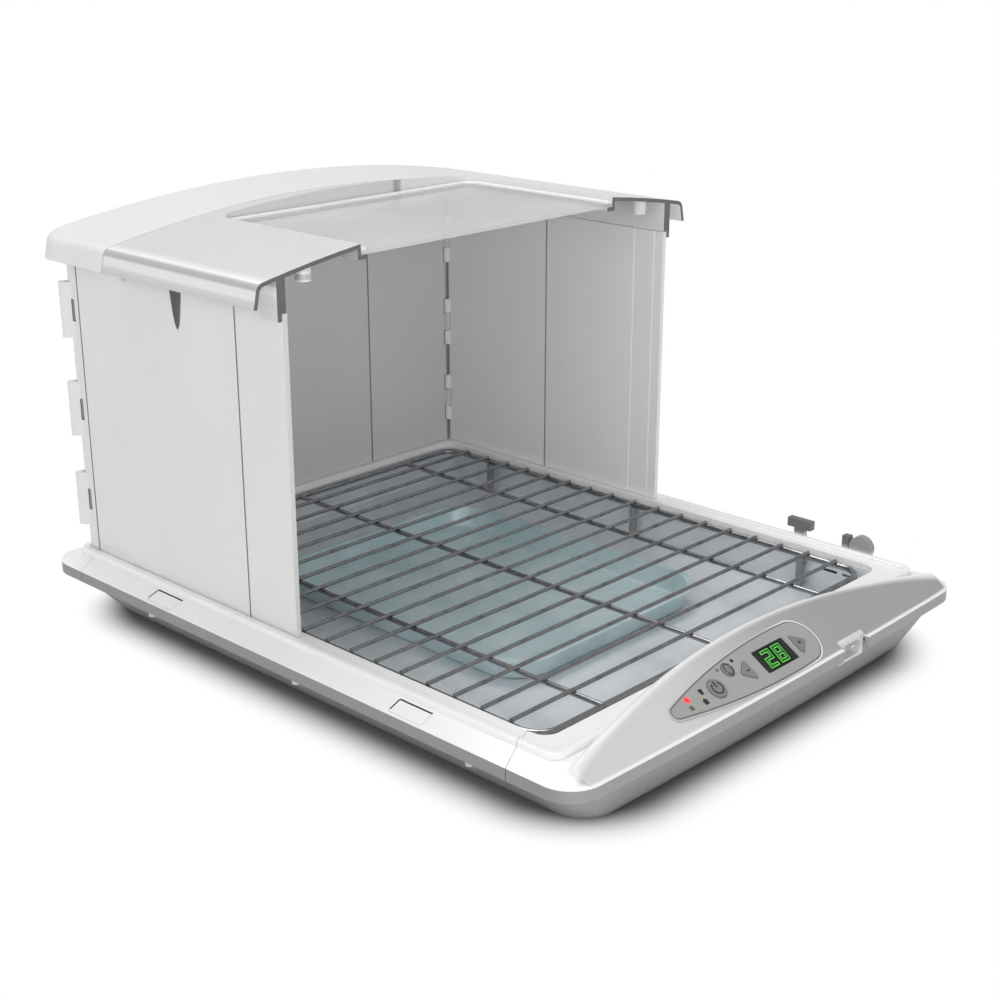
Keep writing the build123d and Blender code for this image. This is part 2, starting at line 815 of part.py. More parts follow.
element_z = plate_low - element_radius - 0.1
element_front = well_front + element_turn_margins[0]
element_rear = well_rear - element_turn_margins[1]
element_end = well_front + element_end_margin
element_rows = [element_pitch * (i - 2.5) for i in range(6)]
turn = element_pitch / 2
with BuildPart() as heating_element:
    with BuildLine(Plane.XY.offset(element_z)) as element_path:
        Line((element_rows[0], element_end), (element_rows[0], element_rear))
        for i, x in enumerate(element_rows[:-1]):
            far = x + element_pitch
            end, way = (element_rear, 1) if i % 2 == 0 else (element_front, -1)
            other = element_front if i % 2 == 0 else element_rear
            last = element_end if i == 4 else other
            ThreePointArc((x, end), (x + turn, end + way * turn), (far, end))
            Line((far, end), (far, last))
    with BuildSketch(Plane(origin=(element_rows[0], element_end, element_z), z_dir=(0, 1, 0))):
        Circle(element_radius)
    sweep()
save(heating_element.part, "heating_element")

clip_rows = (element_front + clip_margins[0], element_rear - clip_margins[1])
clip_places = [(x, y) for x in element_rows for y in clip_rows]
clip_low = element_z - element_radius - 1.2
with BuildPart() as heater_clips:
    with Locations(*[(x, y, clip_low) for x, y in clip_places]):
        Box(14.0, clip_length, plate_low - clip_low, align=(Align.CENTER, Align.CENTER, Align.MIN))
    with BuildSketch(Plane.XZ.offset(clip_length - clip_rows[0])):
        with Locations(*[(x, element_z) for x in element_rows]):
            Circle(element_radius + 0.05)
        with Locations(*[(x, element_z + 2.0) for x in element_rows]):
            Rectangle(2 * element_radius + 0.1, 4.0)
        for side in (-1, 1):
            with Locations(*[(x + side * 5.4, clip_low + 2.7) for x in element_rows]):
                Rectangle(4.4, 5.4)
    extrude(amount=clip_rows[0] - clip_rows[1] - 2 * clip_length, mode=Mode.SUBTRACT)
save(heater_clips.part, "heater_clips")

with BuildPart() as insulation_pad:
    with BuildSketch(Plane.XY.offset(pan_low + pan_wall)):
        pad_side, pad_front, pad_rear = pad_margins
        add(
            spanned(
                pad_side - well_half,
                well_half - pad_side,
                well_front + pad_front,
                well_rear - pad_rear,
                12.0,
            )
        )
    extrude(amount=pad_thickness)
save(insulation_pad.part, "insulation_pad")

with BuildPart() as temperature_sensor:
    with Locations((0, -20.0, plate_low - 2.1)):
        Cylinder(2.0, 16.0, rotation=(0, 90, 0))
    with Locations((0, -20.0, plate_low)):
        Box(5.0, 7.0, 1.0, align=(Align.CENTER, Align.CENTER, Align.MAX))
save(temperature_sensor.part, "temperature_sensor")

with BuildPart() as thermal_fuse:
    with Locations((element_pitch, -20.0, plate_low)):
        Cylinder(7.0, 4.0, align=(Align.CENTER, Align.CENTER, Align.MAX))
        Box(24.0, 6.0, 1.0, align=(Align.CENTER, Align.CENTER, Align.MAX))
save(thermal_fuse.part, "thermal_fuse")

# Wires from the socket to the board, and from the board to the element's two ends
wire_runs = (
    ((inlet_x - 4.0, inlet_face + 11.0, 30.0), (48.0, -206.0, 27.0), (26.0, -208.0, 29.0)),
    ((inlet_x + 4.0, inlet_face + 11.0, 30.0), (72.0, -205.0, 22.0), (element_rows[5], element_end - 5.2, element_z)),
    ((-60.0, -208.5, 27.0), (-90.0, -204.0, 20.0), (element_rows[0], element_end - 5.2, element_z)),
)
with BuildPart() as wiring:
    for run in wire_runs:
        with BuildLine() as path:
            Spline(*run)
        with BuildSketch(Plane(origin=path.line @ 0, z_dir=path.line % 0)):
            Circle(1.1)
        sweep(path=path.line)
    with Locations(*[(x, element_end - 2.6, element_z) for x in (element_rows[0], element_rows[5])]):
        Box(6.4, 5.0, 4.0)
save(wiring.part, "wiring")

# Water tray and wire rack, which lift out
tray_low = plate_low + plate_gauge + 0.1
rack_half = well_half - rack_margins[0]
rack_front = well_front + rack_margins[1]
rack_rear = well_rear - rack_margins[2]
tray_half = rack_half - tray_margins[0]
tray_front = rack_front + tray_margins[1]
tray_rear = rack_rear - tray_margins[2]


def tray_body(wall):
    """Solid of the tray, flaring upwards, smaller all round by the wall."""
    inset = tray_flare + wall
    with BuildPart() as body:
        with BuildSketch(Plane.XY.offset(tray_low + wall)):
            add(
                spanned(
                    -tray_half + inset,
                    tray_half - inset,
                    tray_front + inset,
                    tray_rear - inset,
                    tray_corner - wall,
                )
            )
        extrude(amount=tray_top - tray_low, taper=-tray_taper)
        fillet(body.faces().sort_by(Axis.Z)[0].edges(), 3.6 - wall)
    return body.part


with BuildPart() as water_tray:
    add(tray_body(0))
    with BuildSketch(Plane.XY.offset(tray_top)):
        add(spanned(-tray_half, tray_half, tray_front, tray_rear, tray_corner + 2))
    extrude(amount=-tray_gauge)
    add(tray_body(tray_gauge), mode=Mode.SUBTRACT)
save(water_tray.part, "water_tray")

wire_z = rack_top - rack_wire
rod_z = wire_z - rack_wire - rack_rod + rack_weld
frame_z = wire_z - rack_wire - rack_frame + rack_weld
rack_pitch = (rack_rear - rack_front) / rack_spaces
with BuildPart() as wire_rack:
    loop = Pos(0, 0, frame_z) * spanned(
        -rack_half, rack_half, rack_front, rack_rear, rack_corner
    )
    frame_path = loop.faces()[0].outer_wire()
    with BuildSketch(Plane(origin=frame_path @ 0, z_dir=frame_path % 0)):
        Circle(rack_frame)
    sweep(path=frame_path)
    with BuildSketch(Plane.YZ.offset(-rack_half)):
        with Locations(*[(rack_front + rack_pitch * i, wire_z) for i in range(1, rack_spaces)]):
            Circle(rack_wire)
    extrude(amount=2 * rack_half)
    with BuildSketch(Plane.XZ.offset(-rack_rear)):
        with Locations(*[(x, rod_z) for x in (rod_margin - rack_half, 0, rack_half - rod_margin)]):
            Circle(rack_rod)
    extrude(amount=rack_rear - rack_front)
save(wire_rack.part, "wire_rack")

leg_rows = (rack_front + leg_margin, (rack_front + rack_rear) / 2, rack_rear - leg_margin)
leg_places = [(side * (rack_half - leg_radius + rack_weld), y) for side in (-1, 1) for y in leg_rows]
with BuildPart() as rack_legs:
    with BuildSketch(Plane.XY.offset(tray_low)):
        with Locations(*leg_places):
            Circle(leg_radius)
    extrude(amount=frame_z - rack_frame - tray_low + 0.7)
    fillet(rack_legs.edges().group_by(Axis.Z)[0], 0.8)
    add(wire_rack.part, mode=Mode.SUBTRACT)
save(rack_legs.part, "rack_legs")

# Housing: two side walls and a rear wall in two halves, hinged to fold


def cylinders(axis_x, axis_y, radius, spans):
    with BuildPart() as body:
        for low, high in spans:
            with Locations((axis_x, axis_y, low)):
                Cylinder(
                    radius, high - low, align=(Align.CENTER, Align.CENTER, Align.MIN)
                )
    return body.part


end_spans = [
    span
    for low, high in hinge_bands
    for span in ((low, low + knuckle_end), (high - knuckle_end, high))
]
mid_spans = [
    (low + knuckle_end + knuckle_gap, high - knuckle_end - knuckle_gap)
    for low, high in hinge_bands
]


def widened(spans):
    return [(low - knuckle_gap, high + knuckle_gap) for low, high in spans]


def corner_lobes(side):
    """Side wall's knuckles, each band swelling out past the corner as one."""
    with BuildPart() as body:
        for low, high in hinge_bands:
            with BuildSketch(Plane.XY.offset(low)):
                with Locations(
                    Location(
                        (
                            side * (corner_x + knuckle_reach / 2),
                            corner_y + knuckle_reach / 2,
                        ),
                        side * 45.0,
                    )
                ):
                    SlotCenterToCenter(knuckle_reach * sqrt(2), 2 * knuckle_radius)
            extrude(amount=high - low)
        add(notches(side * corner_x, corner_y, mid_spans), mode=Mode.SUBTRACT)
    return body.part


def notches(axis_x, axis_y, spans):
    """Room round a hinge axis for the other leaf's knuckles."""
    with BuildPart() as body:
        for low, high in widened(spans):
            with Locations((axis_x, axis_y, low)):
                Cylinder(
                    knuckle_radius + notch_gap,
                    high - low,
                    align=(Align.CENTER, Align.CENTER, Align.MIN),
                )
    return body.part


def side_wall(side):
    inner = wall_half - wall_thickness
    low_x, high_x = sorted((side * inner, side * wall_half))
    with BuildPart() as body:
        with BuildSketch(Plane.XY.offset(wall_low)):
            with Locations(((low_x + high_x) / 2, (wall_front + wall_rear) / 2)):
                Rectangle(wall_thickness, 2 * wall_half_length)
        extrude(amount=wall_top - wall_low)
        fillet(
            body.edges().filter_by(Axis.Z).sort_by(Axis((0, 0, 0), (side, 1, 0)))[-1], wall_corner
        )
        # the corner clears the rear leaf's middle knuckles
        for low, high in widened(mid_spans):
            with Locations((side * wall_half, wall_rear, low)):
                Box(
                    4 * knuckle_radius,
                    2 * (wall_rear - corner_y + knuckle_radius + panel_end_gap),
                    high - low,
                    align=(Align.CENTER, Align.CENTER, Align.MIN),
                    mode=Mode.SUBTRACT,
                )
        add(corner_lobes(side))
        add(
            cylinders(side * corner_x, corner_y, pin_radius + pin_clearance, [(0, wall_top)]),
            mode=Mode.SUBTRACT,
        )
        # press lines in both faces, and a scoop at the top of the outer face
        for offset_y in (wall_half_length - end_groove_inset, outer_groove):
            for sign in (-1, 1):
                with Locations((side * wall_half, wall_middle + sign * offset_y, 0)):
                    Box(2 * groove_depth, groove_width, 800.0, mode=Mode.SUBTRACT)
        for offset_y in inner_grooves:
            for sign in (-1, 1):
                with Locations((side * inner, wall_middle + sign * offset_y, 0)):
                    Box(2 * groove_depth, groove_width, 800.0, mode=Mode.SUBTRACT)
        scoop_x = side * (wall_half + scoop_radius - scoop_depth)
        scoop_tilt = degrees(atan(scoop_depth / scoop_height))
        for sign in (-1, 1):
            with Locations(
                Location((scoop_x, wall_middle + sign * scoop_offset, wall_top), (0, -side * scoop_tilt, 0))
            ):
                Cylinder(scoop_radius, 4 * scoop_height, mode=Mode.SUBTRACT)
        # a low rib along the foot of the outer face
        with BuildSketch(Plane.YZ.offset(side * wall_half)):
            for sign in (-1, 1):
                rib_y = wall_middle + sign * (wall_half_length - rib_inset - rib_length / 2)
                with Locations((rib_y, wall_low + rib_width / 2 + 0.5)):
                    SlotOverall(rib_length, rib_width)
        extrude(amount=side * rib_proud)
        split(bisect_by=section_plane, keep=Keep.TOP)
    return body.part


def rear_leaf(side):
    """One half of the rear wall, from its corner hinge to the hinge at the middle."""
    corner_spans, mid_hinge_spans = mid_spans, end_spans if side < 0 else mid_spans
    other_spans = mid_spans if side < 0 else end_spans
    low_x, high_x = sorted((side * (corner_x - panel_end_gap), side * panel_end_gap / 2))
    with BuildPart() as body:
        with BuildSketch(Plane.XY.offset(wall_low)):
            with Locations(((low_x + high_x) / 2, wall_rear - wall_thickness / 2)):
                Rectangle(high_x - low_x, wall_thickness)
        extrude(amount=wall_top - wall_low)
        add(notches(side * corner_x, corner_y, end_spans), mode=Mode.SUBTRACT)
        add(notches(0, mid_y, other_spans), mode=Mode.SUBTRACT)
        add(cylinders(side * corner_x, corner_y, knuckle_radius, corner_spans))
        add(cylinders(0, mid_y, knuckle_radius, mid_hinge_spans))
        for x, y in ((side * corner_x, corner_y), (0, mid_y)):
            add(
                cylinders(x, y, pin_radius + pin_clearance, [(0, wall_top)]),
                mode=Mode.SUBTRACT,
            )
        with Locations((side * corner_x / 2, wall_rear - wall_thickness, 0)):
            Box(groove_width, 2 * groove_depth, 800.0, mode=Mode.SUBTRACT)
    return body.part


with BuildPart() as left_wall:
    add(side_wall(-1))
save(left_wall.part, "left_wall")
with BuildPart() as right_wall:
    add(side_wall(1))
save(right_wall.part, "right_wall")
with BuildPart() as rear_panel_left:
    add(rear_leaf(-1))
save(rear_panel_left.part, "rear_panel_left")
with BuildPart() as rear_panel_right:
    add(rear_leaf(1))
save(rear_panel_right.part, "rear_panel_right")

pin_spans = [(low - pin_proud, high + pin_proud) for low, high in hinge_bands]
for name, x, y in (
    ("rear_left_pins", -corner_x, corner_y),
    ("rear_mid_pins", 0, mid_y),
    ("rear_right_pins", corner_x, corner_y),
):
    with BuildPart() as pins:
        add(cylinders(x, y, pin_radius, pin_spans))
    save(pins.part, name)

# Lid: arched cover with a window recess, hooked over the walls
lid_middle = (lid_front + lid_rear) / 2
lid_length = lid_rear - lid_front


def lid_body(wall):
    """Solid under the lid's outer skin, smaller all round by the wall."""
    with BuildPart() as body:
        with BuildSketch(Plane.XY.offset(lid_low)):
            with Locations((0, lid_middle)):
                RectangleRounded(base_width - 2 * wall, lid_length - 2 * wall, lid_corner - wall)
        extrude(amount=lid_crown - lid_low + 5.0, taper=lid_taper)
        with BuildSketch(Plane.XZ.offset(-lid_rear - 5.0)):
            with BuildLine():
                ThreePointArc(
                    (-half_width, lid_edge - wall),
                    (0, lid_crown - wall),
                    (half_width, lid_edge - wall),
                )
                Polyline(
                    (half_width, lid_edge - wall),
                    (half_width, lid_low - 5.0),
                    (-half_width, lid_low - 5.0),
                    (-half_width, lid_edge - wall),
                )
            make_face()
        extrude(amount=lid_length + 10.0, mode=Mode.INTERSECT)
        over = body.edges().filter_by(lambda e: e.center().Z > lid_low + 8.0)
        over = [e for e in over if e.bounding_box().min.Z > lid_low + 5.0]
        fillet(over, lid_shoulder_radius - wall * 0.8)
    return body.part


lid_outer = lid_body(0)
lid_inner = lid_body(lid_skin)


def window_outline(grow):
    return spanned(
        -window_half - grow,
        window_half + grow,
        window_front - grow,
        window_rear + grow,
        window_corner + grow,
    )


def wall_ring(inner, outer):
    """Ring in plan that follows the walls' outer faces, between two offsets."""
    with BuildSketch() as ring:
        add(spanned(-wall_half - outer, wall_half + outer, wall_front - outer, wall_rear + outer, 4.0))
        add(
            spanned(-wall_half - inner, wall_half + inner, wall_front - inner, wall_rear + inner, 3.0),
            mode=Mode.SUBTRACT,
        )
    return ring.sketch


with BuildPart() as lid_shell:
    # ribs, hooks and bosses under the skin, then the skin itself
    with BuildSketch(Plane.XY.offset(wall_top + wall_seat_gap)):
        add(wall_ring(-seat_width + 1.0, 1.0))
    extrude(amount=lid_crown - wall_top)
    with BuildSketch() as hook_spots:
        with Locations(*[(0, y) for y in (section_y, wall_rear - hook_side_margin)]):
            Rectangle(base_width, hook_length)
        with Locations(*[(side * (wall_half - hook_rear_margin), wall_rear) for side in (-1, 1)]):
            Rectangle(hook_length, hook_length)
    with BuildSketch(Plane.XY.offset(lip_low)):
        add(wall_ring(lip_gap, lip_gap + lip_width))
        add(hook_spots.sketch, mode=Mode.INTERSECT)
    extrude(amount=lid_crown - lip_low)
    with BuildSketch(Plane.XY.offset(window_ledge_low)):
        add(window_outline(window_ring))
    extrude(amount=lid_crown - window_ledge_low)
    with BuildSketch(Plane.XY.offset(lid_boss_low)):
        with Locations(*[(side * lid_boss_x, y) for side in (-1, 1) for y in lid_boss_rows]):
            Circle(lid_boss_radius)
    extrude(amount=lid_crown - lid_boss_low)
    with BuildPart(mode=Mode.PRIVATE) as under:
        add(lid_outer)
        with BuildSketch(Plane.XY.offset(lid_low - 20.0)):
            add(wall_ring(-2 * seat_width, lip_gap + lip_width))
        extrude(amount=21.0)
    add(under.part, mode=Mode.INTERSECT)
    with BuildPart(mode=Mode.PRIVATE) as skin:
        add(lid_outer)
        add(lid_inner, mode=Mode.SUBTRACT)
    add(skin.part)
    with BuildSketch(Plane.XY.offset(pane_low)):
        add(window_outline(0))
    extrude(amount=30.0, mode=Mode.SUBTRACT)
    with BuildSketch(Plane.XY.offset(lid_low)):
        add(window_outline(-window_ledge))
    extrude(amount=60.0, mode=Mode.SUBTRACT)
    with BuildSketch(Plane.XY.offset(lid_boss_low)):
        with Locations(*[(side * lid_boss_x, y) for side in (-1, 1) for y in lid_boss_rows]):
            Circle(1.6)
    extrude(amount=8.0, mode=Mode.SUBTRACT)
    split(bisect_by=section_plane, keep=Keep.TOP)
save(lid_shell.part, "lid_shell")

with BuildPart() as window_pane:
    with BuildSketch(Plane.XY.offset(pane_low)):
        add(window_outline(-fit_gap))
    extrude(amount=pane_thickness)
    split(bisect_by=section_plane, keep=Keep.TOP)
save(window_pane.part, "window_pane")

with BuildPart() as window_frame:
    with BuildSketch(Plane.XY.offset(pane_low + pane_thickness)):
        add(window_outline(-fit_gap))
        add(window_outline(-trim_width), mode=Mode.SUBTRACT)
    extrude(amount=trim_height)
    fillet(window_frame.faces().sort_by(Axis.Z)[-1].inner_wires()[0].edges(), 0.8)
    split(bisect_by=section_plane, keep=Keep.TOP)
save(window_frame.part, "window_frame")
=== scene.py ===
import json
import math

import bpy
import numpy as np
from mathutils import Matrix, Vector


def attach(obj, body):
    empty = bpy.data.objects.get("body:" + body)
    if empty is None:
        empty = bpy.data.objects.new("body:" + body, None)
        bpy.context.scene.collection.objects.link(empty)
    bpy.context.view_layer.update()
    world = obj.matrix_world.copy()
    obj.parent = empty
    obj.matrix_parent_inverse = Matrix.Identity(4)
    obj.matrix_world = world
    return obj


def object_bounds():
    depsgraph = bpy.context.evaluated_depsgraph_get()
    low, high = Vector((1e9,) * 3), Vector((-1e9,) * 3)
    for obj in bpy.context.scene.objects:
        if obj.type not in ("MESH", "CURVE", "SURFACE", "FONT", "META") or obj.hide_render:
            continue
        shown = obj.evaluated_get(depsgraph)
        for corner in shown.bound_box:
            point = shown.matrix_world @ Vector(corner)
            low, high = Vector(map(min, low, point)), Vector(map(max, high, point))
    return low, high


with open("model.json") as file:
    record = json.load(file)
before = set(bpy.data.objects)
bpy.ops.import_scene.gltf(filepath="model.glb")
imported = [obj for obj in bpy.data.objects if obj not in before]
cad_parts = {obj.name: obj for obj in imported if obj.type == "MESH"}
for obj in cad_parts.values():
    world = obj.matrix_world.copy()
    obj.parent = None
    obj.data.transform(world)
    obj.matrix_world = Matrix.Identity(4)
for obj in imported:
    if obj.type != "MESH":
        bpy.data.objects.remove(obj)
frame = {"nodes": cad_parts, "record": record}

nodes = frame["nodes"]
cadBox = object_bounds()
mm = 0.001
print("frame loaded:", len(nodes), "nodes")


viewSettings = {
    "place": (-0.7075, -0.6739, 0.4332),
    "tilt": 70.29,  # degrees
    "heading": -46.53,
    "lens": 59.2,
    "sensor": 36,
    "clipStart": 0.02,
}


def addCamera(s):
    camera = bpy.data.cameras.new("viewCamera")
    camera.lens = s["lens"]
    camera.sensor_width = s["sensor"]
    camera.clip_start = s["clipStart"]
    holder = bpy.data.objects.new("viewCamera", camera)
    holder.location = s["place"]
    holder.rotation_euler = (math.radians(s["tilt"]), 0, math.radians(s["heading"]))
    bpy.context.scene.collection.objects.link(holder)
    bpy.context.scene.camera = holder


addCamera(viewSettings)
print("camera")


class Value:
    # wraps a socket, so that a sum or product of sockets adds its Math nodes
    def __init__(self, graph, socket):
        self.graph, self.socket = graph, socket

    def join(self, kind, first, second):
        return self.graph.node("ShaderNodeMath", {"operation": kind}, {0: first, 1: second})

    def __add__(self, other): return self.join("ADD", self, other)
    def __radd__(self, other): return self.join("ADD", other, self)
    def __sub__(self, other): return self.join("SUBTRACT", self, other)
    def __rsub__(self, other): return self.join("SUBTRACT", other, self)
    def __mul__(self, other): return self.join("MULTIPLY", self, other)
    def __rmul__(self, other): return self.join("MULTIPLY", other, self)
    def __truediv__(self, other): return self.join("DIVIDE", self, other)
    def __rtruediv__(self, other): return self.join("DIVIDE", other, self)
    def __pow__(self, other): return self.join("POWER", self, other)
    def __gt__(self, other): return self.join("GREATER_THAN", self, other)

    def least(self, other): return self.join("MINIMUM", self, other)
    def most(self, other): return self.join("MAXIMUM", self, other)
    def size(self): return self.join("ABSOLUTE", self, 0.0)

    def ramp(self, low, high):
        # 0 below low and 1 above high, with a smooth rise between
        return self.graph.node(
            "ShaderNodeMapRange",
            {"interpolation_type": "SMOOTHSTEP"},
            {"Value": self, "From Min": low, "From Max": high},
        )

    def spread(self):
        # the middle of a noise's range, drawn out to run from 0 to 1
        return self.ramp(0.3, 0.7)


class Graph:
    # a node tree, and one method that adds any node to it
    def __init__(self, tree):
        self.tree = tree

    def feed(self, socket, value):
        # a Value is linked, a colour is given its alpha, and anything else is written in
        if isinstance(value, Value):
            self.tree.links.new(value.socket, socket)
        elif isinstance(value, tuple) and len(value) == 3 and len(socket.default_value) == 4:
            socket.default_value = (*value, 1.0)
        else:
            socket.default_value = value

    def node(self, kind, settings=None, inputs=None, output=0):
        made = self.tree.nodes.new(kind)
        for key, value in (settings or {}).items():
            if key == "stops":
                ramp = made.color_ramp
                while len(ramp.elements) < len(value):
                    ramp.elements.new(0.5)
                for element, (place, colour) in zip(ramp.elements, value):
                    element.position, element.color = place, (*colour, 1.0)
            else:
                setattr(made, key, value)
        for key, value in (inputs or {}).items():
            self.feed(made.inputs[key], value)
        return Value(self, made.outputs[output])


class Paint(Graph):
    # one material: its Principled shader, and the textures that a finish is mixed from
    def __init__(self, name, **fixed):
        self.material = bpy.data.materials.new(name)
        self.material.use_nodes = True
        super().__init__(self.material.node_tree)
        self.shader = self.tree.nodes["Principled BSDF"]
        self.set(**fixed)

    def set(self, **values):
        for key, value in values.items():
            self.feed(self.shader.inputs[key.replace("_", " ")], value)

    def place(self, scale=(1, 1, 1)):
        where = self.node("ShaderNodeTexCoord", output="Object")
        return self.node("ShaderNodeMapping", None, {"Vector": where, "Scale": scale})

    def axes(self):
        # x, y and z in metres, in the part's own frame
        where = self.node("ShaderNodeTexCoord", output="Object")
        split = self.node("ShaderNodeSeparateXYZ", None, {"Vector": where})
        return [Value(self, out) for out in split.socket.node.outputs]

    def noise(self, size, detail=3.0, scale=(1, 1, 1), rough=0.5):
        return self.node(
            "ShaderNodeTexNoise",
            None,
            {"Vector": self.place(scale), "Scale": 1 / size, "Detail": detail, "Roughness": rough},
        )

    def cells(self, size, feature="F1"):
        return self.node(
            "ShaderNodeTexVoronoi",
            {"feature": feature},
            {"Vector": self.place(), "Scale": 1 / size},
        )

    def blend(self, mask, first, second):
        # the sockets of a Mix node's colours share their names with others, so go by number
        return self.node(
            "ShaderNodeMix", {"data_type": "RGBA"}, {0: mask, 6: first, 7: second}, output=2
        )

    def bump(self, height, depth, strength=1.0):
        return self.node(
            "ShaderNodeBump", None, {"Height": height, "Distance": depth, "Strength": strength}
        )


def grey(level):
    return (level, level, level)


def shaded(colour, share):
    return tuple(c * share for c in colour)


shellFinish = {
    "peel": 2.4 * mm,  # sizes of the orange peel, the flow clouds and the handling haze
    "cloud": 60 * mm,
    "haze": 14 * mm,
    "peelDepth": 0.012 * mm,
    "dip": 0.02,  # how much darker a flow cloud is
    "warmth": 0.004,  # and how much less blue the whole is
}


def shellMarks(paint, s=shellFinish):
    # moulded plastic's flow clouds and handling haze
    return paint.noise(s["cloud"]), paint.noise(s["haze"], detail=5.0, rough=0.6)


def shellPeel(paint, s=shellFinish):
    return paint.bump(paint.noise(s["peel"], detail=2.0), s["peelDepth"])


def shellWhite(paint, cloud, level, s=shellFinish):
    return paint.blend(cloud.spread(), grey(level - s["dip"]), grey(level))


def makeWhiteShell(name, level, s=shellFinish):
    # glossy moulded plastic: slight orange peel, faint flow clouds, a little handling haze
    paint = Paint(name, IOR=1.5, Coat_Roughness=0.08)
    cloud, haze = shellMarks(paint)
    warm = (level, level, level - s["warmth"])
    paint.set(
        Base_Color=paint.blend(cloud.spread(), grey(level - s["dip"]), warm),
        Roughness=0.24 + haze * 0.12,
        Coat_Weight=0.2 + cloud * 0.12,
        Normal=shellPeel(paint),
    )
    return paint.material


rimTones = {
    "white": 0.97,
    "lip": 0.27,  # painted shade on the white rim's outer lip at the sides, and in front, where it is painted paler as more light falls
    "litLipFront": 0.36,
    "lipCloud": 0.3,
    "lipLow": 34.7 * mm,
    "lipHigh": 35.0 * mm,
    "lipFade": 1.5 * mm,
    "frontTo": -226 * mm,
    "sideFrom": -208 * mm,
    "crest": -191 * mm,  # the crest's line at the middle, and the radius it follows
    "crestRadius": 600 * mm,
    "slopeRun": 5 * mm,
    "slopeShadeLeft": 0.68,  # tones of the painted shade on the sloping face at its two ends, and where they are
    "slopeShadeRight": 0.38,
    "slopeShadeFrom": -110 * mm,
    "slopeShadeTo": 60 * mm,
    "ridgeHighlight": 35.3 * mm,  # height of the painted highlight along the lip's top edge, its tone and its half widths
    "highlightTone": 0.96,
    "highlightCore": 0.2 * mm,
    "highlightEdge": 0.9 * mm,
}


def makeRimShell(name, s=rimTones):
    # the white rim: a painted highlight along the lip's top edge; below it the outer lip, painted
    # grey as shade near the tub's tone and paler in front where more light falls; and in front of
    # the crest's curved line a sloping face whose painted shade darkens to the right
    paint = Paint(name, IOR=1.5, Coat_Roughness=0.08)
    x, y, z = paint.axes()
    cloud, haze = shellMarks(paint)
    crest = s["crest"] - (x * x) / (2 * s["crestRadius"])
    above = z.ramp(s["lipHigh"], s["lipHigh"] + s["lipFade"])
    slope = (crest - y).ramp(0, s["slopeRun"]) * above
    # painted shade: the white rim's outer lip is painted grey
    lip = 1 - z.ramp(s["lipLow"], s["lipHigh"])
    # painted highlight: a bright line along the lip's top edge
    ridgeHighlight = 1 - (z - s["ridgeHighlight"]).size().ramp(s["highlightCore"], s["highlightEdge"])
    # painted light: the lip is paler in front, where more light falls
    shadedLipTone = paint.blend(y.ramp(s["frontTo"], s["sideFrom"]), grey(s["litLipFront"]), grey(s["lip"]))
    # painted shade on the sloping face, darker to the right
    slopeShade = paint.blend(
        x.ramp(s["slopeShadeFrom"], s["slopeShadeTo"]), grey(s["slopeShadeLeft"]), grey(s["slopeShadeRight"])
    )
    faced = paint.blend(slope, shellWhite(paint, cloud, s["white"]), slopeShade)
    bright = paint.blend(ridgeHighlight * (0.7 + haze * 0.3), faced, grey(s["highlightTone"]))
    clouded = paint.blend(cloud * 0.15, shadedLipTone, grey(s["lipCloud"]))
    paint.set(
        Base_Color=paint.blend(lip, bright, clouded),
        Roughness=0.24 + haze * 0.12 + lip * 0.14,
        Coat_Weight=(0.2 + cloud * 0.12) * (1 - lip),
        Normal=shellPeel(paint),
    )
    return paint.material


lidTones = {
    "white": 0.83,
    "silver": 0.62,
    "flake": 0.4 * mm,
    "skirtLow": 236 * mm,
    "skirtHigh": 252 * mm,
    "reflectionStreaks": (
        # painted reflection bands: height up the skirt and shoulder as a share, and tone
        (0.0, grey(0.70)), (0.24, grey(0.80)), (0.34, grey(1.0)), (0.58, grey(1.0)),
        (0.66, grey(0.58)), (0.80, grey(0.60)), (0.87, grey(1.0)), (0.95, grey(0.76)),
    ),
    "border": 140 * mm,  # the silver strip ends here, counted from the section
    "drawIn": 14 * mm,  # by which the strip narrows to the window's rear edge
    "turnFrom": -75 * mm,
    "turnTo": 75 * mm,
    "stripEnd": 100 * mm,
    "line": 0.2,  # tone and half widths of the line where the two colours meet
    "lineCore": 0.15 * mm,
    "lineEdge": 0.5 * mm,
    "sawnTo": 0.02 * mm,
    "sawnDark": 0.12,
    "sawnPale": 0.22,
}


def makeLidShell(name, s=lidTones):
    # white lid whose side strip is lacquered satin silver with painted reflection bands up its
    # skirt and shoulder, with a dull grey sawn edge where the section cuts it, and a fine dark line
    # where the two colours meet
    paint = Paint(name, IOR=1.5, Coat_Roughness=0.16, Specular_IOR_Level=0.35)
    x, y, z = paint.axes()
    cloud, haze = shellMarks(paint)
    border = s["border"] - x.ramp(s["turnFrom"], s["turnTo"]) * s["drawIn"]
    ahead = border - y
    within = s["stripEnd"] - x > 0
    strip = (ahead > 0) * within
    line = (1 - ahead.size().ramp(s["lineCore"], s["lineEdge"])) * within
    sawn = (s["sawnTo"] - y) > 0
    up = (z - s["skirtLow"]) / (s["skirtHigh"] - s["skirtLow"])
    # painted reflection: bright and dark bands up the skirt and shoulder of the silver strip
    reflectionStreaks = paint.node("ShaderNodeValToRGB", {"stops": s["reflectionStreaks"]}, {0: up})
    flake = paint.cells(s["flake"]).ramp(0.1, 0.9)
    silver = paint.blend(flake * 0.2, reflectionStreaks, grey(s["silver"]))
    coloured = paint.blend(strip, shellWhite(paint, cloud, s["white"]), silver)
    skin = paint.blend(line * 0.6, coloured, grey(s["line"]))
    edge = paint.blend(haze, grey(s["sawnDark"]), grey(s["sawnPale"]))
    paint.set(
        Base_Color=paint.blend(sawn, skin, edge),
        Metallic=strip * (1 - sawn) * 0.3,
        Roughness=0.30 + haze * 0.1 + strip * 0.02 + sawn * 0.3,
        Coat_Weight=(0.06 + cloud * 0.06) * (1 - sawn),
    )
    return paint.material


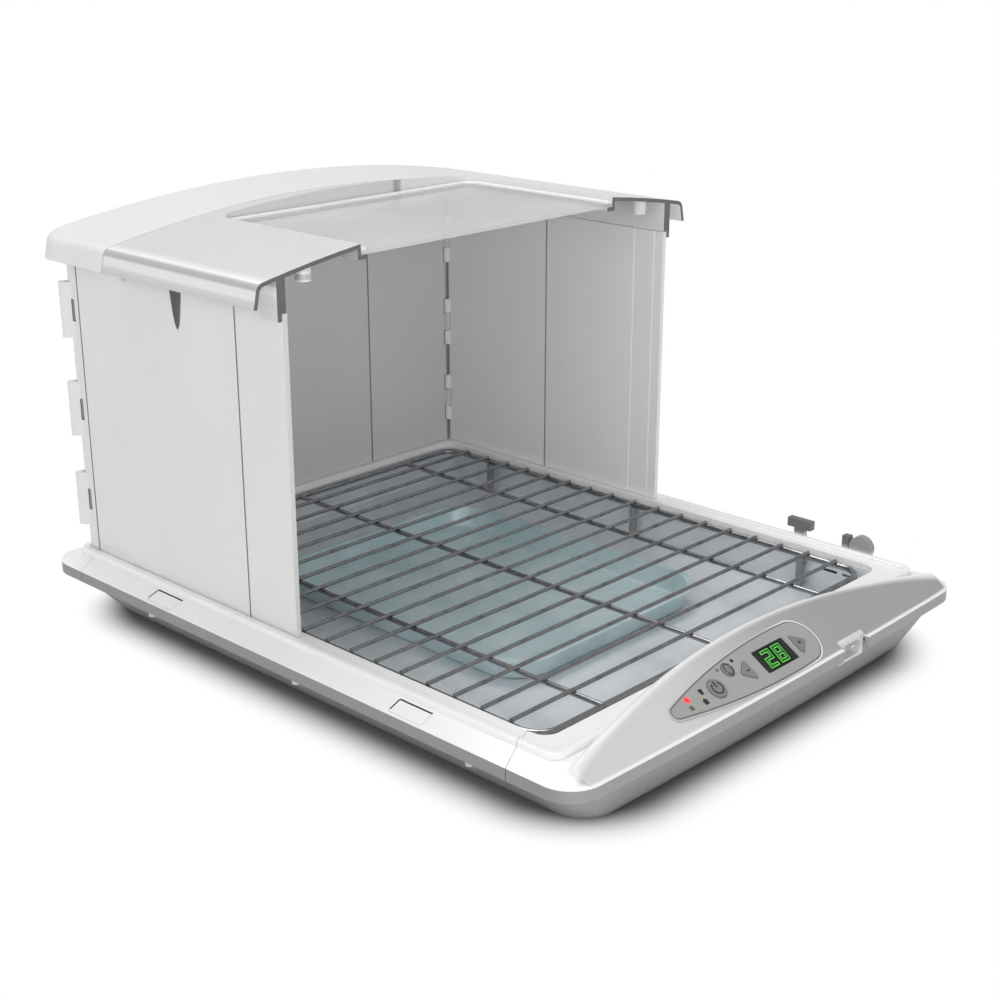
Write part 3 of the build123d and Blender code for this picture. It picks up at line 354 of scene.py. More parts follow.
wallTones = {
    # just inside the inner and outer faces of the side walls and of the rear wall
    "sideInner": 161.95 * mm,
    "sideOuter": 164.9 * mm,
    "rearInner": 205.9 * mm,
    "rearOuter": 208.9 * mm,
    "section": 0.3 * mm,
    "top": 230.8 * mm,
    "line": 0.18,  # tones of the painted shade in the press lines, and of the painted light that whitens those that should hardly show
    "lineLightened": 1.0,
    "lightenedTo": 75 * mm,  # the whitened ones are on the right wall, from the section to here
    "scoop": 96 * mm,  # middle, half width and foot of a finger scoop
    "scoopHalf": 6.5 * mm,
    "scoopLow": 203 * mm,
    "scoopEdge": 0.5 * mm,
    "scoopDeep": -1.0 * mm,  # its painted shade is darkest past here, counted from its middle
    "scoopLit": 0.75,
    "scoopShaded": 0.10,
    "grain": 0.7 * mm,
    "grainDepth": 0.01 * mm,
    "cloud": 90 * mm,
}


def makeWallPlastic(name, level, s=wallTones):
    # satin sheet with a very fine grain and long soft clouds, with painted shade in its press lines
    # and finger scoops, which are what lies between its two faces, and painted light whitening the
    # press lines near the section on the right wall
    paint = Paint(name, Specular_IOR_Level=0.42)
    x, y, z = paint.axes()
    grain = paint.noise(s["grain"], detail=2.0)
    cloud = paint.noise(s["cloud"], scale=(1, 1, 0.5))
    side = (x.size() > s["sideInner"]) * (s["sideOuter"] - x.size() > 0)
    between = (y > s["rearInner"]) * (s["rearOuter"] - y > 0)
    rear = between * (s["sideInner"] - x.size() > 0)
    sunk = (side + rear).least(1) * (y > s["section"]) * (s["top"] - z > 0)
    along = y - s["scoop"]
    inScoop = 1 - (along.size() - s["scoopHalf"]).ramp(0, s["scoopEdge"])
    scoop = side * inScoop * (z > s["scoopLow"])
    # painted shade across each finger scoop, pale at one side and dark at the other
    shade = paint.blend(
        along.ramp(-s["scoopHalf"], s["scoopDeep"]), grey(s["scoopLit"]), grey(s["scoopShaded"])
    )
    plain = paint.blend(cloud.spread(), grey(level - 0.02), grey(level + 0.01))
    # painted light whitens the right wall's press lines near the section, and painted shade darkens
    # the rest
    lightened = (x > 0) * (s["lightenedTo"] - y > 0)
    paintedLineTone = paint.blend(lightened, grey(s["line"]), grey(s["lineLightened"]))
    paintedLines = paint.blend(sunk * 0.75, plain, paintedLineTone)
    paint.set(
        Base_Color=paint.blend(scoop * sunk, paintedLines, shade),
        Roughness=0.36 + grain * 0.12,
        Normal=paint.bump(grain, s["grainDepth"]),
    )
    return paint.material


tubTones = {
    "dark": 0.27,
    "pale": 0.31,
    "front": 0.42,  # the front painted paler where more light falls, which fades into the rest between these two
    "frontTo": -215 * mm,
    "restFrom": -195 * mm,
    "proud": 0.28,
    # painted shadow at the tub's foot, and the height it fades out by
    "foot": 0.12,
    "footTop": 6 * mm,
    "grain": 0.9 * mm,
    "grainDepth": 0.03 * mm,
    "cloud": 50 * mm,
}


def makeTubGrey(name, s=tubTones):
    # spark-textured grey tub, its own tone where the grain is proud, with a painted shadow
    # darkening its foot and its front painted paler as light
    paint = Paint(name, Specular_IOR_Level=0.4)
    x, y, z = paint.axes()
    grain = paint.cells(s["grain"])
    cloud = paint.noise(s["cloud"])
    tone = paint.blend(cloud.spread(), grey(s["dark"]), grey(s["pale"]))
    # painted light: the front is paler
    frontLit = paint.blend(y.ramp(s["frontTo"], s["restFrom"]), grey(s["front"]), tone)
    grained = paint.blend(grain.ramp(0.2, 0.8) * 0.5, frontLit, grey(s["proud"]))
    paint.set(
        # painted shadow: darker at the foot
        Base_Color=paint.blend(z.ramp(0, s["footTop"]), grey(s["foot"]), grained),
        Roughness=0.42 + grain * 0.2,
        Normal=paint.bump(grain, s["grainDepth"], strength=0.6),
    )
    return paint.material


fineFinish = {"grain": 0.5 * mm, "grainDepth": 0.008 * mm, "cloud": 11 * mm, "dip": 0.88}


def makeFinePlastic(name, colour, roughness, s=fineFinish):
    # finely grained plastic or a matt print, with small clouds that are a little darker
    paint = Paint(name, Specular_IOR_Level=0.45)
    grain = paint.noise(s["grain"], detail=2.0)
    cloud = paint.noise(s["cloud"], detail=2.0)
    paint.set(
        Base_Color=paint.blend(cloud.spread(), shaded(colour, s["dip"]), colour),
        Roughness=roughness - 0.05 + grain * 0.12,
        Normal=paint.bump(grain, s["grainDepth"]),
    )
    return paint.material


lugTones = {
    "foot": 0.62,
    "round": 0.34,
    "others": 0.17,
    "roundEnd": -150.7 * mm,  # the round lug ends here, and the other two lie behind it
    "footTop": 41 * mm,
    "headFrom": 44 * mm,
}


def makeLugPlastic(name, s=lugTones):
    # upright lugs: pale at the foot, mid grey on the round one, dark on the other two
    paint = Paint(name, Specular_IOR_Level=0.4)
    x, y, z = paint.axes()
    grain = paint.noise(fineFinish["grain"], detail=2.0)
    tone = paint.blend(y - s["roundEnd"] > 0, grey(s["round"]), grey(s["others"]))
    paint.set(
        Base_Color=paint.blend(z.ramp(s["footTop"], s["headFrom"]), grey(s["foot"]), tone),
        Roughness=0.4 + grain * 0.1,
        Normal=paint.bump(grain, fineFinish["grainDepth"]),
    )
    return paint.material


rubberFinish = {
    "black": (0.022, 0.022, 0.023),
    "dusty": (0.07, 0.07, 0.068),
    "dust": 9 * mm,
    "grain": 0.8 * mm,
    "grainDepth": 0.04 * mm,
}


def makeRubber(name, s=rubberFinish):
    paint = Paint(name, Specular_IOR_Level=0.3)
    grain = paint.noise(s["grain"], detail=4.0)
    dust = paint.noise(s["dust"], detail=4.0)
    paint.set(
        Base_Color=paint.blend(dust.ramp(0.45, 0.75), s["black"], s["dusty"]),
        Roughness=0.62 + grain * 0.2,
        Normal=paint.bump(grain, s["grainDepth"]),
    )
    return paint.material


silverFinish = {
    "dark": (0.44, 0.44, 0.425),
    "pale": (0.48, 0.48, 0.465),
    "flaked": (0.41, 0.41, 0.40),
    "flake": 0.35 * mm,
    "flakeDepth": 0.004 * mm,
    "cloud": 26 * mm,
}


def makeSilverPanel(name, s=silverFinish):
    # satin silver lacquer with fine metal flake
    paint = Paint(name, Metallic=0.2)
    flake = paint.cells(s["flake"])
    cloud = paint.noise(s["cloud"], detail=2.0)
    tone = paint.blend(cloud.spread(), s["dark"], s["pale"])
    paint.set(
        Base_Color=paint.blend(flake.ramp(0.1, 0.9), tone, s["flaked"]),
        Roughness=0.4 + flake * 0.15,
        Normal=paint.bump(flake, s["flakeDepth"]),
    )
    return paint.material


plateFinish = {
    "clean": (0.86, 0.89, 0.91),
    "smudged": (0.76, 0.79, 0.82),
    "smudge": 38 * mm,
    "marks": 21 * mm,
    "lines": 3.0 * mm,
    "rolling": (14, 0.35, 1),
    "lineDepth": 0.01 * mm,
}


def makeAluminiumPlate(name, s=plateFinish):
    # rolled sheet: fine lines along the rolling, dried water marks and light smudges
    paint = Paint(name, Metallic=0.25)
    lines = paint.noise(s["lines"], detail=4.0, scale=s["rolling"])
    smudge = paint.noise(s["smudge"], detail=5.0, rough=0.65)
    marks = paint.cells(s["marks"], "SMOOTH_F1").ramp(0.44, 0.5)
    paint.set(
        Base_Color=paint.blend(smudge.ramp(0.35, 0.75), s["clean"], s["smudged"]),
        Roughness=0.22 + lines * 0.16 + smudge * 0.12 + marks * 0.03,
        Normal=paint.bump(lines, s["lineDepth"]),
    )
    return paint.material


wireFinish = {
    "bright": (0.34, 0.34, 0.35),
    "worn": (0.20, 0.20, 0.21),
    "patch": 7 * mm,
    "pits": 0.6 * mm,
    "pitDepth": 0.01 * mm,
}


def makeChromeWire(name, s=wireFinish):
    # bright plated wire with thin patches where the plating is duller
    paint = Paint(name, Metallic=1.0)
    dull = paint.noise(s["patch"], detail=4.0)
    paint.set(
        Base_Color=paint.blend(dull.ramp(0.45, 0.8), s["bright"], s["worn"]),
        Roughness=0.12 + dull * 0.14,
        Normal=paint.bump(paint.noise(s["pits"], detail=2.0), s["pitDepth"]),
    )
    return paint.material


steelFinish = {
    "lines": 1.2 * mm,
    "drawn": (1, 1, 9),
    "lineDepth": 0.01 * mm,
    "stain": 6 * mm,
    "stained": 0.7,
}


def makeSteel(name, colour, roughness, s=steelFinish):
    # drawn steel with small stains
    paint = Paint(name, Metallic=1.0)
    lines = paint.noise(s["lines"], scale=s["drawn"])
    stain = paint.noise(s["stain"])
    paint.set(
        Base_Color=paint.blend(stain.ramp(0.4, 0.8), colour, shaded(colour, s["stained"])),
        Roughness=roughness + lines * 0.15,
        Normal=paint.bump(lines, s["lineDepth"]),
    )
    return paint.material


trayFinish = {
    "dark": (0.58, 0.73, 0.76),
    "pale": (0.72, 0.84, 0.86),
    "cloud": 30 * mm,
    "lines": 2.0 * mm,
    "drawn": (0.4, 10, 1),
    "lineDepth": 0.008 * mm,
}


def makeTrayMetal(name, s=trayFinish):
    # pale blue-grey anodised tray with a drawn bottom
    paint = Paint(name, Metallic=0.35)
    lines = paint.noise(s["lines"], scale=s["drawn"])
    cloud = paint.noise(s["cloud"], detail=4.0)
    paint.set(
        Base_Color=paint.blend(cloud.ramp(0.3, 0.75), s["dark"], s["pale"]),
        Roughness=0.26 + lines * 0.15 + cloud * 0.08,
        Normal=paint.bump(lines, s["lineDepth"]),
    )
    return paint.material


paneFinish = {
    "dark": (0.84, 0.85, 0.85),
    "pale": (0.90, 0.91, 0.91),
    "haze": 120 * mm,
    "wipe": 40 * mm,
    "wiping": (1, 3, 1),
    "cover": 0.46,  # how much the pane hides where it is clearest
}


def makePane(name, s=paneFinish):
    # clear pale sheet with faint haze and wiping marks
    paint = Paint(name, Specular_IOR_Level=0.55)
    wipe = paint.noise(s["wipe"], detail=4.0, scale=s["wiping"])
    haze = paint.noise(s["haze"], detail=2.0)
    paint.set(
        Base_Color=paint.blend(haze.spread(), s["dark"], s["pale"]),
        Roughness=0.08 + wipe * 0.1,
        Alpha=s["cover"] + haze * 0.12,
    )
    return paint.material


feltFinish = {
    "dark": (0.50, 0.48, 0.43),
    "pale": (0.72, 0.70, 0.65),
    "fibre": 1.5 * mm,
    "fibreDepth": 0.3 * mm,
}


def makeFelt(name, s=feltFinish):
    paint = Paint(name, Sheen_Weight=0.3)
    fibre = paint.noise(s["fibre"], detail=6.0, rough=0.8)
    paint.set(
        Base_Color=paint.blend(fibre.spread(), s["dark"], s["pale"]),
        Roughness=0.8 + fibre * 0.15,
        Normal=paint.bump(fibre, s["fibreDepth"]),
    )
    return paint.material


boardFinish = {
    "bare": (0.02, 0.16, 0.06),
    "tracked": (0.04, 0.25, 0.10),
    "tracks": 4.0 * mm,
    "trackDepth": 0.03 * mm,
    "weave": 1.0 * mm,
    "warp": (6, 1, 1),
}


def makeBoard(name, s=boardFinish):
    # green circuit board: copper tracks under the lacquer, and the weave of the sheet
    paint = Paint(name, Specular_IOR_Level=0.5)
    weave = paint.noise(s["weave"], detail=1.0, scale=s["warp"])
    tracks = paint.cells(s["tracks"]).ramp(0.32, 0.36)
    paint.set(
        Base_Color=paint.blend(tracks, s["bare"], s["tracked"]),
        Roughness=0.3 + weave * 0.15,
        Normal=paint.bump(tracks, s["trackDepth"]),
    )
    return paint.material


glassFinish = {
    "dark": (0.006, 0.014, 0.006),
    "pale": (0.030, 0.030, 0.026),
    "middle": -0.2 * mm,
    "halfWidth": 14 * mm,
    "reflectionFrom": 0.5,  # shares of the half width between which a painted reflection makes the window paler
    "reflectionTo": 1.05,
    "speck": 0.9 * mm,
}


def makeDisplayGlass(name, s=glassFinish):
    # near-black window, its ends painted a little lighter as a reflection of the room
    paint = Paint(name, Specular_IOR_Level=0.25)
    x, y, z = paint.axes()
    along = (x - s["middle"]) / s["halfWidth"]
    speck = paint.noise(s["speck"], detail=2.0)
    paint.set(
        Base_Color=paint.blend(along.size().ramp(s["reflectionFrom"], s["reflectionTo"]), s["dark"], s["pale"]),
        Roughness=0.22 + speck * 0.08,
    )
    return paint.material


pipeTones = {
    "litBefore": -60 * mm,
    "blackPast": -38 * mm,
    "redDark": (0.78, 0.02, 0.03),
    "redPale": (0.95, 0.07, 0.07),
    "dimGreen": (0.16, 0.20, 0.18),
    "black": 0.012,
    "strength": 1.3,
    "grain": 0.8 * mm,
}


def makeLightPipe(name, s=pipeTones):
    # the rod at the left is lit red, the next is a dim green, and the last is black
    paint = Paint(name, Emission_Strength=s["strength"], Roughness=0.35)
    x, y, z = paint.axes()
    grain = paint.noise(s["grain"], detail=1.0)
    lit = s["litBefore"] - x > 0
    black = x - s["blackPast"] > 0
    dim = paint.blend(black, s["dimGreen"], grey(s["black"]))
    red = paint.blend(grain, s["redDark"], s["redPale"])
    paint.set(
        Base_Color=paint.blend(lit, dim, red),
        Emission_Color=paint.blend(lit, grey(0.0), red),
    )
    return paint.material


ringTones = {
    "dull": 0.60,
    "bright": 0.98,
    "dullTo": 5 * mm,
    "brightFrom": 30 * mm,
    "grain": 0.8 * mm,
}


def makeRingLine(name, s=ringTones):
    # fine line round the bezel, white where the light strikes it at the right-hand end
    paint = Paint(name)
    x, y, z = paint.axes()
    grain = paint.noise(s["grain"], detail=1.0)
    paint.set(
        Base_Color=paint.blend(
            x.ramp(s["dullTo"], s["brightFrom"]), grey(s["dull"]), grey(s["bright"])
        ),
        Roughness=0.3 + grain * 0.08,
    )
    return paint.material


glowFinish = {"grain": 0.8 * mm, "dip": 0.75}


def makeGlow(name, colour, strength, s=glowFinish):
    # lit plastic, a little dimmer in patches
    paint = Paint(name, Emission_Strength=strength, Roughness=0.3)
    grain = paint.noise(s["grain"], detail=1.0)
    tone = paint.blend(grain, shaded(colour, s["dip"]), colour)
    paint.set(Base_Color=tone, Emission_Color=tone)
    return paint.material


finishes = {
    made.name: made
    for made in (
        makeWhiteShell("whiteShell", 0.88),
        makeWhiteShell("whiteTrim", 0.94),
        makeRimShell("rimShell"),
        makeLidShell("lidShell"),
        # one wall plastic in three copies: plain, painted lighter as light for the right wall, and
        # painted darker as shade for the rear panels
        makeWallPlastic("wallPlastic", 0.78),
        makeWallPlastic("wallLitCopy", 0.90),
        makeWallPlastic("wallShade", 0.68),
        makeLugPlastic("lugPlastic"),
        makeTubGrey("tubGrey"),
        makeRubber("footRubber"),
        makeSteel("screwSteel", (0.55, 0.55, 0.56), 0.3),
        makeSteel("elementSteel", (0.20, 0.18, 0.17), 0.45),
        makeSilverPanel("silverPanel"),
        makeDisplayGlass("displayGlass"),
        makeLightPipe("lightPipe"),
        makeBoard("boardGreen"),
        makeAluminiumPlate("platedSheet"),
        makeFelt("padFelt"),
        makeTrayMetal("trayMetal"),
        makeChromeWire("chromeWire"),
        makePane("clearPane"),
        makeFinePlastic("keyGrey", (0.25, 0.25, 0.24), 0.55),
        makeFinePlastic("blackPlastic", grey(0.03), 0.45),
        makeFinePlastic("socketGrey", grey(0.80), 0.45),
        makeFinePlastic("wireSleeve", (0.45, 0.04, 0.03), 0.5),
        makeFinePlastic("legGrey", grey(0.30), 0.5),
        makeFinePlastic("darkPrint", grey(0.025), 0.5),
        makeFinePlastic("brownPrint", (0.16, 0.13, 0.11), 0.5),
        makeFinePlastic("lineDark", (0.20, 0.20, 0.195), 0.5),
        makeRingLine("lineLight"),
        makeGlow("digitEdge", (0.12, 0.55, 0.08), 0.8),
        makeGlow("digitCore", (0.004, 0.05, 0.005), 0.6),
        makeGlow("redHalo", (0.60, 0.27, 0.25), 0.25),
        makeGlow("lampRed", (0.90, 0.03, 0.04), 0.9),
    )
}
slotFinish = {
    "white_shell": "whiteShell", "wall_plastic": "wallPlastic", "grey_tub": "tubGrey",
    "rubber": "footRubber", "steel": "screwSteel", "silver_panel": "silverPanel",
    "button_grey": "keyGrey", "display_glass": "displayGlass", "black_plastic": "blackPlastic",
    "light_pipe": "lightPipe", "board": "boardGreen", "aluminium_plate": "platedSheet",
    "element_steel": "elementSteel", "felt": "padFelt", "wire_sleeve": "wireSleeve",
    "tray_metal": "trayMetal", "rack_chrome": "chromeWire", "pane": "clearPane",
    "window_trim": "whiteTrim", "socket_grey": "socketGrey",
}
nodeFinish = {
    "left_rail": "rimShell", "right_rail": "rimShell", "front_cover": "rimShell",
    "rear_cover": "rimShell", "rail_catches": "rimShell", "lid_shell": "lidShell",
    # the right wall takes the copy painted lighter as light, and the rear panels the one painted
    # darker as shade
    "rail_lugs": "lugPlastic", "rack_legs": "legGrey", "right_wall": "wallLitCopy",
    "rear_panel_left": "wallShade", "rear_panel_right": "wallShade",
}


def dressParts():
    # a node takes the finish of its own name, or else that of its material slot
    for part in frame["record"]["subparts"]:
        mesh = nodes[part["node"]].data
        mesh.materials.clear()
        finish = nodeFinish.get(part["node"], slotFinish[part["material_slot"]])
        mesh.materials.append(finishes[finish])


dressParts()
print("finishes:", len(finishes))


def addPiece(name, points, faces, finish, body="base"):
    mesh = bpy.data.meshes.new(name)
    mesh.from_pydata(points.tolist(), [], faces)
    mesh.materials.append(finishes[finish])
    piece = bpy.data.objects.new(name, mesh)
    bpy.context.scene.collection.objects.link(piece)
    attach(piece, body)
    return piece


def ribbon(line, width, low, high, closed=False):
    # a stroke of even width: its centre line moved to each side by half the width,
    # joined by a top, a bottom, two sides and, where it is open, two ends
    line = np.asarray(line, float)
    after, before = np.roll(line, -1, 0), np.roll(line, 1, 0)
    if not closed:
        after[-1], before[0] = line[-1], line[0]
    along = after - before
    along /= np.linalg.norm(along, axis=1, keepdims=True)
    across = np.column_stack((-along[:, 1], along[:, 0])) * width / 2
    left, right = line + across, line - across
    count = len(line)
    points = np.vstack([
        np.column_stack((side, np.full(count, height)))
        for height in (high, low)
        for side in (left, right)
    ])
    steps = np.arange(count if closed else count - 1)
    nxt = (steps + 1) % count
    faces = np.vstack([
        np.column_stack((steps + a, steps + b, nxt + b, nxt + a))
        for a, b in np.array(((0, 1), (3, 2), (2, 0), (1, 3))) * count
    ]).tolist()
    if not closed:
        start, end = np.arange(4) * count, np.arange(4) * count + count - 1
        faces += [start[[0, 2, 3, 1]].tolist(), end[[0, 1, 3, 2]].tolist()]
    return points, faces


def slab(outline, low, high):
    # a filled outline: its loop at two heights, capped above and below
    outline = np.asarray(outline, float)
    count = len(outline)
    points = np.vstack([
        np.column_stack((outline, np.full(count, height))) for height in (high, low)
    ])
    ring = np.arange(count)
    nxt = (ring + 1) % count
    sides = np.column_stack((ring, ring + count, nxt + count, nxt)).tolist()
    return points, [ring.tolist(), (ring[::-1] + count).tolist()] + sides


def gather(shapes):
    # several shapes as one list of points and faces
    points, faces, start = [], [], 0
    for shapePoints, shapeFaces in shapes:
        points.append(shapePoints)
        faces += [[i + start for i in face] for face in shapeFaces]
        start += len(shapePoints)
    return np.vstack(points), faces


def arc(centre, radius, first, last, count=40):
    # points on a circle between two angles in degrees
    turn = np.radians(np.linspace(first, last, count))
    return np.column_stack((centre[0] + radius * np.cos(turn), centre[1] + radius * np.sin(turn)))


def circle(centre, radius, count):
    # an arc of a full turn, less the last point, which would repeat the first
    return arc(centre, radius, 0, 360, count + 1)[:-1]


panel = {
    "slope": 0.61,
    "frontEdge": -228.5,
    "frontHeight": 35.2,
    "face": 0.25,  # height of the bezel's face above the slope
}


def panelToPart(points, s=panel):
    # (u, v, w) in mm: u along the front, v up the slope, w out of the face
    angle = math.atan(s["slope"])
    u, v, w = points.T
    return np.column_stack((
        u,
        s["frontEdge"] + v * math.cos(angle) - w * math.sin(angle),
        s["frontHeight"] + v * math.sin(angle) + w * math.cos(angle),
    )) * mm


def addPrint(name, shapes, body="base", finish="darkPrint"):
    points, faces = gather(shapes)
    return addPiece(name, panelToPart(points), faces, finish, body)


bezel = {
    "ends": (((-91.3, 15.0), 3.9), ((23.8, 18.0), 14.2)),  # centre and radius of each round end
    "bows": (400.0, 520.0),  # radii of the upper and lower long edges
    "bowSteps": 60,
    "nearSteps": 30,
    "farSteps": 40,
    "sunk": 0.1,
    "lineInset": 0.35,
    "lineWidth": 0.5,
    "lineLift": 0.02,
    "ringOutset": 0.75,
    "ringWidth": 0.8,
    "ringLift": 0.05,
}


def bezelLoop(inset, s=bezel):
    # the teardrop: two round ends bridged by two long arcs that touch both from outside;
    # each long arc's centre is where circles of (its radius less an end's radius) round
    # the two ends meet
    (near, nearRadius), (far, farRadius) = s["ends"]
    near, far = np.array(near), np.array(far)
    span = np.linalg.norm(far - near)
    along = (far - near) / span
    across = np.array((-along[1], along[0]))
    bows = []
    for radius, side in zip(s["bows"], (1, -1)):
        reach = (radius - nearRadius) ** 2 - (radius - farRadius) ** 2 + span**2
        reach /= 2 * span
        depth = math.sqrt((radius - nearRadius) ** 2 - reach**2)
        centre = near + along * reach - across * side * depth
        turns = [math.degrees(math.atan2(*(point - centre)[::-1])) for point in (near, far)]
        bows.append((centre, radius - inset, *turns))
    (upper, upperRadius, upperNear, upperFar) = bows[0]
    (lower, lowerRadius, lowerNear, lowerFar) = bows[1]
    return np.vstack((
        arc(upper, upperRadius, upperNear, upperFar, s["bowSteps"]),
        arc(far, farRadius - inset, upperFar, lowerFar, s["farSteps"])[1:],
        arc(lower, lowerRadius, lowerFar, lowerNear, s["bowSteps"])[1:],
        arc(near, nearRadius - inset, lowerNear, upperNear - 360, s["nearSteps"])[1:-1],
    ))


def addBezelLines(s):
    # a dark line just inside the bezel's edge, and a pale one round it on the cover
    low, high = panel["face"] - s["sunk"], panel["face"] + s["lineLift"]
    dark = ribbon(bezelLoop(s["lineInset"]), s["lineWidth"], low, high, closed=True)
    pale = bezelLoop(-s["ringOutset"])
    light = ribbon(pale, s["ringWidth"], -s["sunk"], s["ringLift"], closed=True)
    addPrint("bezelLine", [dark], finish="lineDark")
    addPrint("bezelRing", [light], finish="lineLight")


addBezelLines(bezel)

digits = {
    "places": (-5.6, 4.6),  # middles of the two digits along the panel, and up the slope
    "middle": 17.4,
    "size": (5.4, 9.6),
    "stroke": 2.2,
    "edge": 0.5,
    "slant": 0.1,
    "sunk": 0.12,
    "edgeLift": 0.02,
    "coreLift": 0.05,
    "shown": (2, 8),
    "lit": {2: "abged", 8: "abcdefg"},
    "bars": {
        # ends of each bar, in shares of half a digit's width and height
        "a": ((-1, 1), (1, 1)), "b": ((1, 1), (1, 0)), "c": ((1, 0), (1, -1)),
        "d": ((-1, -1), (1, -1)), "e": ((-1, 0), (-1, -1)), "f": ((-1, 1), (-1, 0)),
        "g": ((-1, 0), (1, 0)),
    },
}


def digitBar(first, last, half):
    # one bar of a digit, run past its ends by its half width to make square corners
    way = (last - first) / np.linalg.norm(last - first) * half
    side = np.array((-way[1], way[0]))
    return np.array((first - way + side, last + way + side, last + way - side, first - way - side))


def addDigits(s):
    # each lit bar is a bright edge with a dark green core a little above it
    half = np.array(s["size"]) / 2
    edges, cores = [], []
    layers = ((0, s["edgeLift"], edges), (s["edge"], s["coreLift"], cores))
    for middle, value in zip(s["places"], s["shown"]):
        for key in s["lit"][value]:
            first, last = np.array(s["bars"][key]) * half
            for trim, lift, kept in layers:
                bar = digitBar(first, last, s["stroke"] / 2 - trim)
                bar[:, 0] += middle + bar[:, 1] * s["slant"]
                bar[:, 1] += s["middle"]
                kept.append(slab(bar[::-1], panel["face"] - s["sunk"], panel["face"] + lift))
    addPrint("digitEdges", edges, finish="digitEdge")
    addPrint("digitCores", cores, finish="digitCore")


addDigits(digits)

keys = {
    "power": (-55.4, 16.4),  # middle of each key along the panel and up the slope
    "mode": (-38.6, 22.8),
    "minus": (-27.0, 16.8),
    "plus": (22.6, 17.2),
    "face": 1.05,  # height of a key's face above the slope
    "sunk": 0.05,
    "lift": 0.04,
    "powerRadius": 3.6,
    "powerTurn": (125, 415),  # degrees, leaving the ring open at the top
    "powerBar": (0.3, 4.6),
    "powerStroke": 1.0,
    "modeRadius": 3.7,
    "modeShape": (0.78, 1.08),
    "modeShort": 0.75,  # how far the third side of each arrow runs short of its corner
    "modeStroke": 0.85,
    "dotRadius": 0.9,
    "dotSteps": 12,
    "minusShape": (1.5, 0.6),
    "plusShape": (1.1, 1.1),
}


def addKeySigns(s):
    low, high = s["face"] - s["sunk"], s["face"] + s["lift"]
    power = np.array(s["power"])
    bar = [power + (0, height) for height in s["powerBar"]]
    addPrint("powerSign", [
        ribbon(arc(power, s["powerRadius"], *s["powerTurn"]), s["powerStroke"], low, high),
        ribbon(bar, s["powerStroke"], low, high),
    ], "power_key")
    # two bent arrows that chase each other round a pointed hexagon
    corners = arc((0, 0), s["modeRadius"], 30, 390, 7) * s["modeShape"] + s["mode"]
    arrows = []
    for start in (0, 3):
        path = corners[start:start + 4].copy()
        path[3] = path[3] * s["modeShort"] + path[2] * (1 - s["modeShort"])
        arrows.append(ribbon(path, s["modeStroke"], low, high))
    addPrint("modeSign", arrows, "mode_key")
    dot = circle((0, 0), s["dotRadius"], s["dotSteps"])
    for sign in ("minus", "plus"):
        shape = dot * s[sign + "Shape"] + s[sign]
        addPrint(sign + "Sign", [slab(shape, low, high)], sign + "_key")


addKeySigns(keys)

marks = {
    "signs": (
        # name, finish, place, half size, and outline in shares of the half size
        ("cupMark", "darkPrint", (-66.7, 18.9), 2.0,
         ((-0.8, 0.9), (-0.5, -0.9), (0.5, -0.9), (0.8, 0.9))),
        ("roofMark", "darkPrint", (-68.8, 13.0), 2.1,
         ((0, 1.1), (-1.1, 0.1), (-0.75, 0.1), (-0.75, -0.9),
          (0.75, -0.9), (0.75, 0.1), (1.1, 0.1))),
        ("squareMark", "brownPrint", (-80.4, 13.4), 1.8,
         ((-0.8, 0.8), (-0.8, -0.8), (0.8, -0.8), (0.8, 0.8))),
    ),
    "sunk": 0.05,
    "lift": 0.03,
    "lamp": (-79.3, 18.6),
    "lampSteps": 32,
    "haloRadius": 2.2,
    "haloWidth": 1.1,
    "haloLift": 0.02,
}


def addMarks(s):
    # small pictograms beside the power key, and the lamp's red core with its pale ring
    low, high = panel["face"] - s["sunk"], panel["face"] + s["lift"]
    for name, finish, place, half, outline in s["signs"]:
        addPrint(name, [slab(np.array(outline) * half + place, low, high)], finish=finish)
    ring = circle(s["lamp"], s["haloRadius"], s["lampSteps"])
    halo = ribbon(ring, s["haloWidth"], low, panel["face"] + s["haloLift"], closed=True)
    addPrint("lampHalo", [halo], finish="redHalo")
    core = circle(s["lamp"], s["haloRadius"] - s["haloWidth"] / 2, s["lampSteps"])
    addPrint("lampCore", [slab(core, low, high)], finish="lampRed")


addMarks(marks)
print("control panel")


catchShadows = {
    "inner": -173.45,
    "outer": -180.9,
    "rows": ((122.35, 97.75), (-94.65, -119.25)),
    "width": 1.0,
    "sunk": 0.1,
    "lift": 0.03,
    "top": 39.32,  # height of the sloping rail at its datum, and its rise to a millimetre
    "datum": -173.3,
    "rise": 0.3855,
}


def addCatchShadows(s):
    # painted shadow: a dark strip over the gap round two sides of each snap catch, where shade
    # falls, laid on the sloping rail
    lines = []
    for start, end in s["rows"]:
        path = ((s["outer"], start), (s["inner"], start), (s["inner"], end))
        lines += [ribbon(path[i:i + 2], s["width"], -s["sunk"], s["lift"]) for i in range(2)]
    points, faces = gather(lines)
    points[:, 2] += s["top"] + (points[:, 0] - s["datum"]) * s["rise"]
    addPiece("catchShadows", points * mm, faces, "darkPrint")


addCatchShadows(catchShadows)
print("catch lines")


studio = {
    "floorSize": 6.0,
    "floorTone": 0.9,
    "contactShadowTone": 0.25,  # the painted contact shadow's colour on the floor under the footprint
    "sideInset": 26 * mm,  # by which the footprint is drawn in, with round corners
    "endInset": 16 * mm,
    "cornerRadius": 50 * mm,
    "shadeTo": 26 * mm,  # how far out from there the painted contact shadow gives way to the floor's colour, and the white comes in
    "fadeTo": 36 * mm,
    "ambient": 0.46,
    "lamps": (
        # name, place, aim, width, height, power
        ("topLamp", (0.25, 0.6, 1.85), (0, 0, 0.1), 1.3, 1.3, 20),
        ("leftLamp", (-1.9, -0.5, 0.9), (0, 0, 0.15), 1.2, 1.2, 8.1),
        ("insideLamp", (-1.1, -1.9, 0.55), (0.1, 0.15, 0.15), 0.8, 0.6, 9),
    ),
}


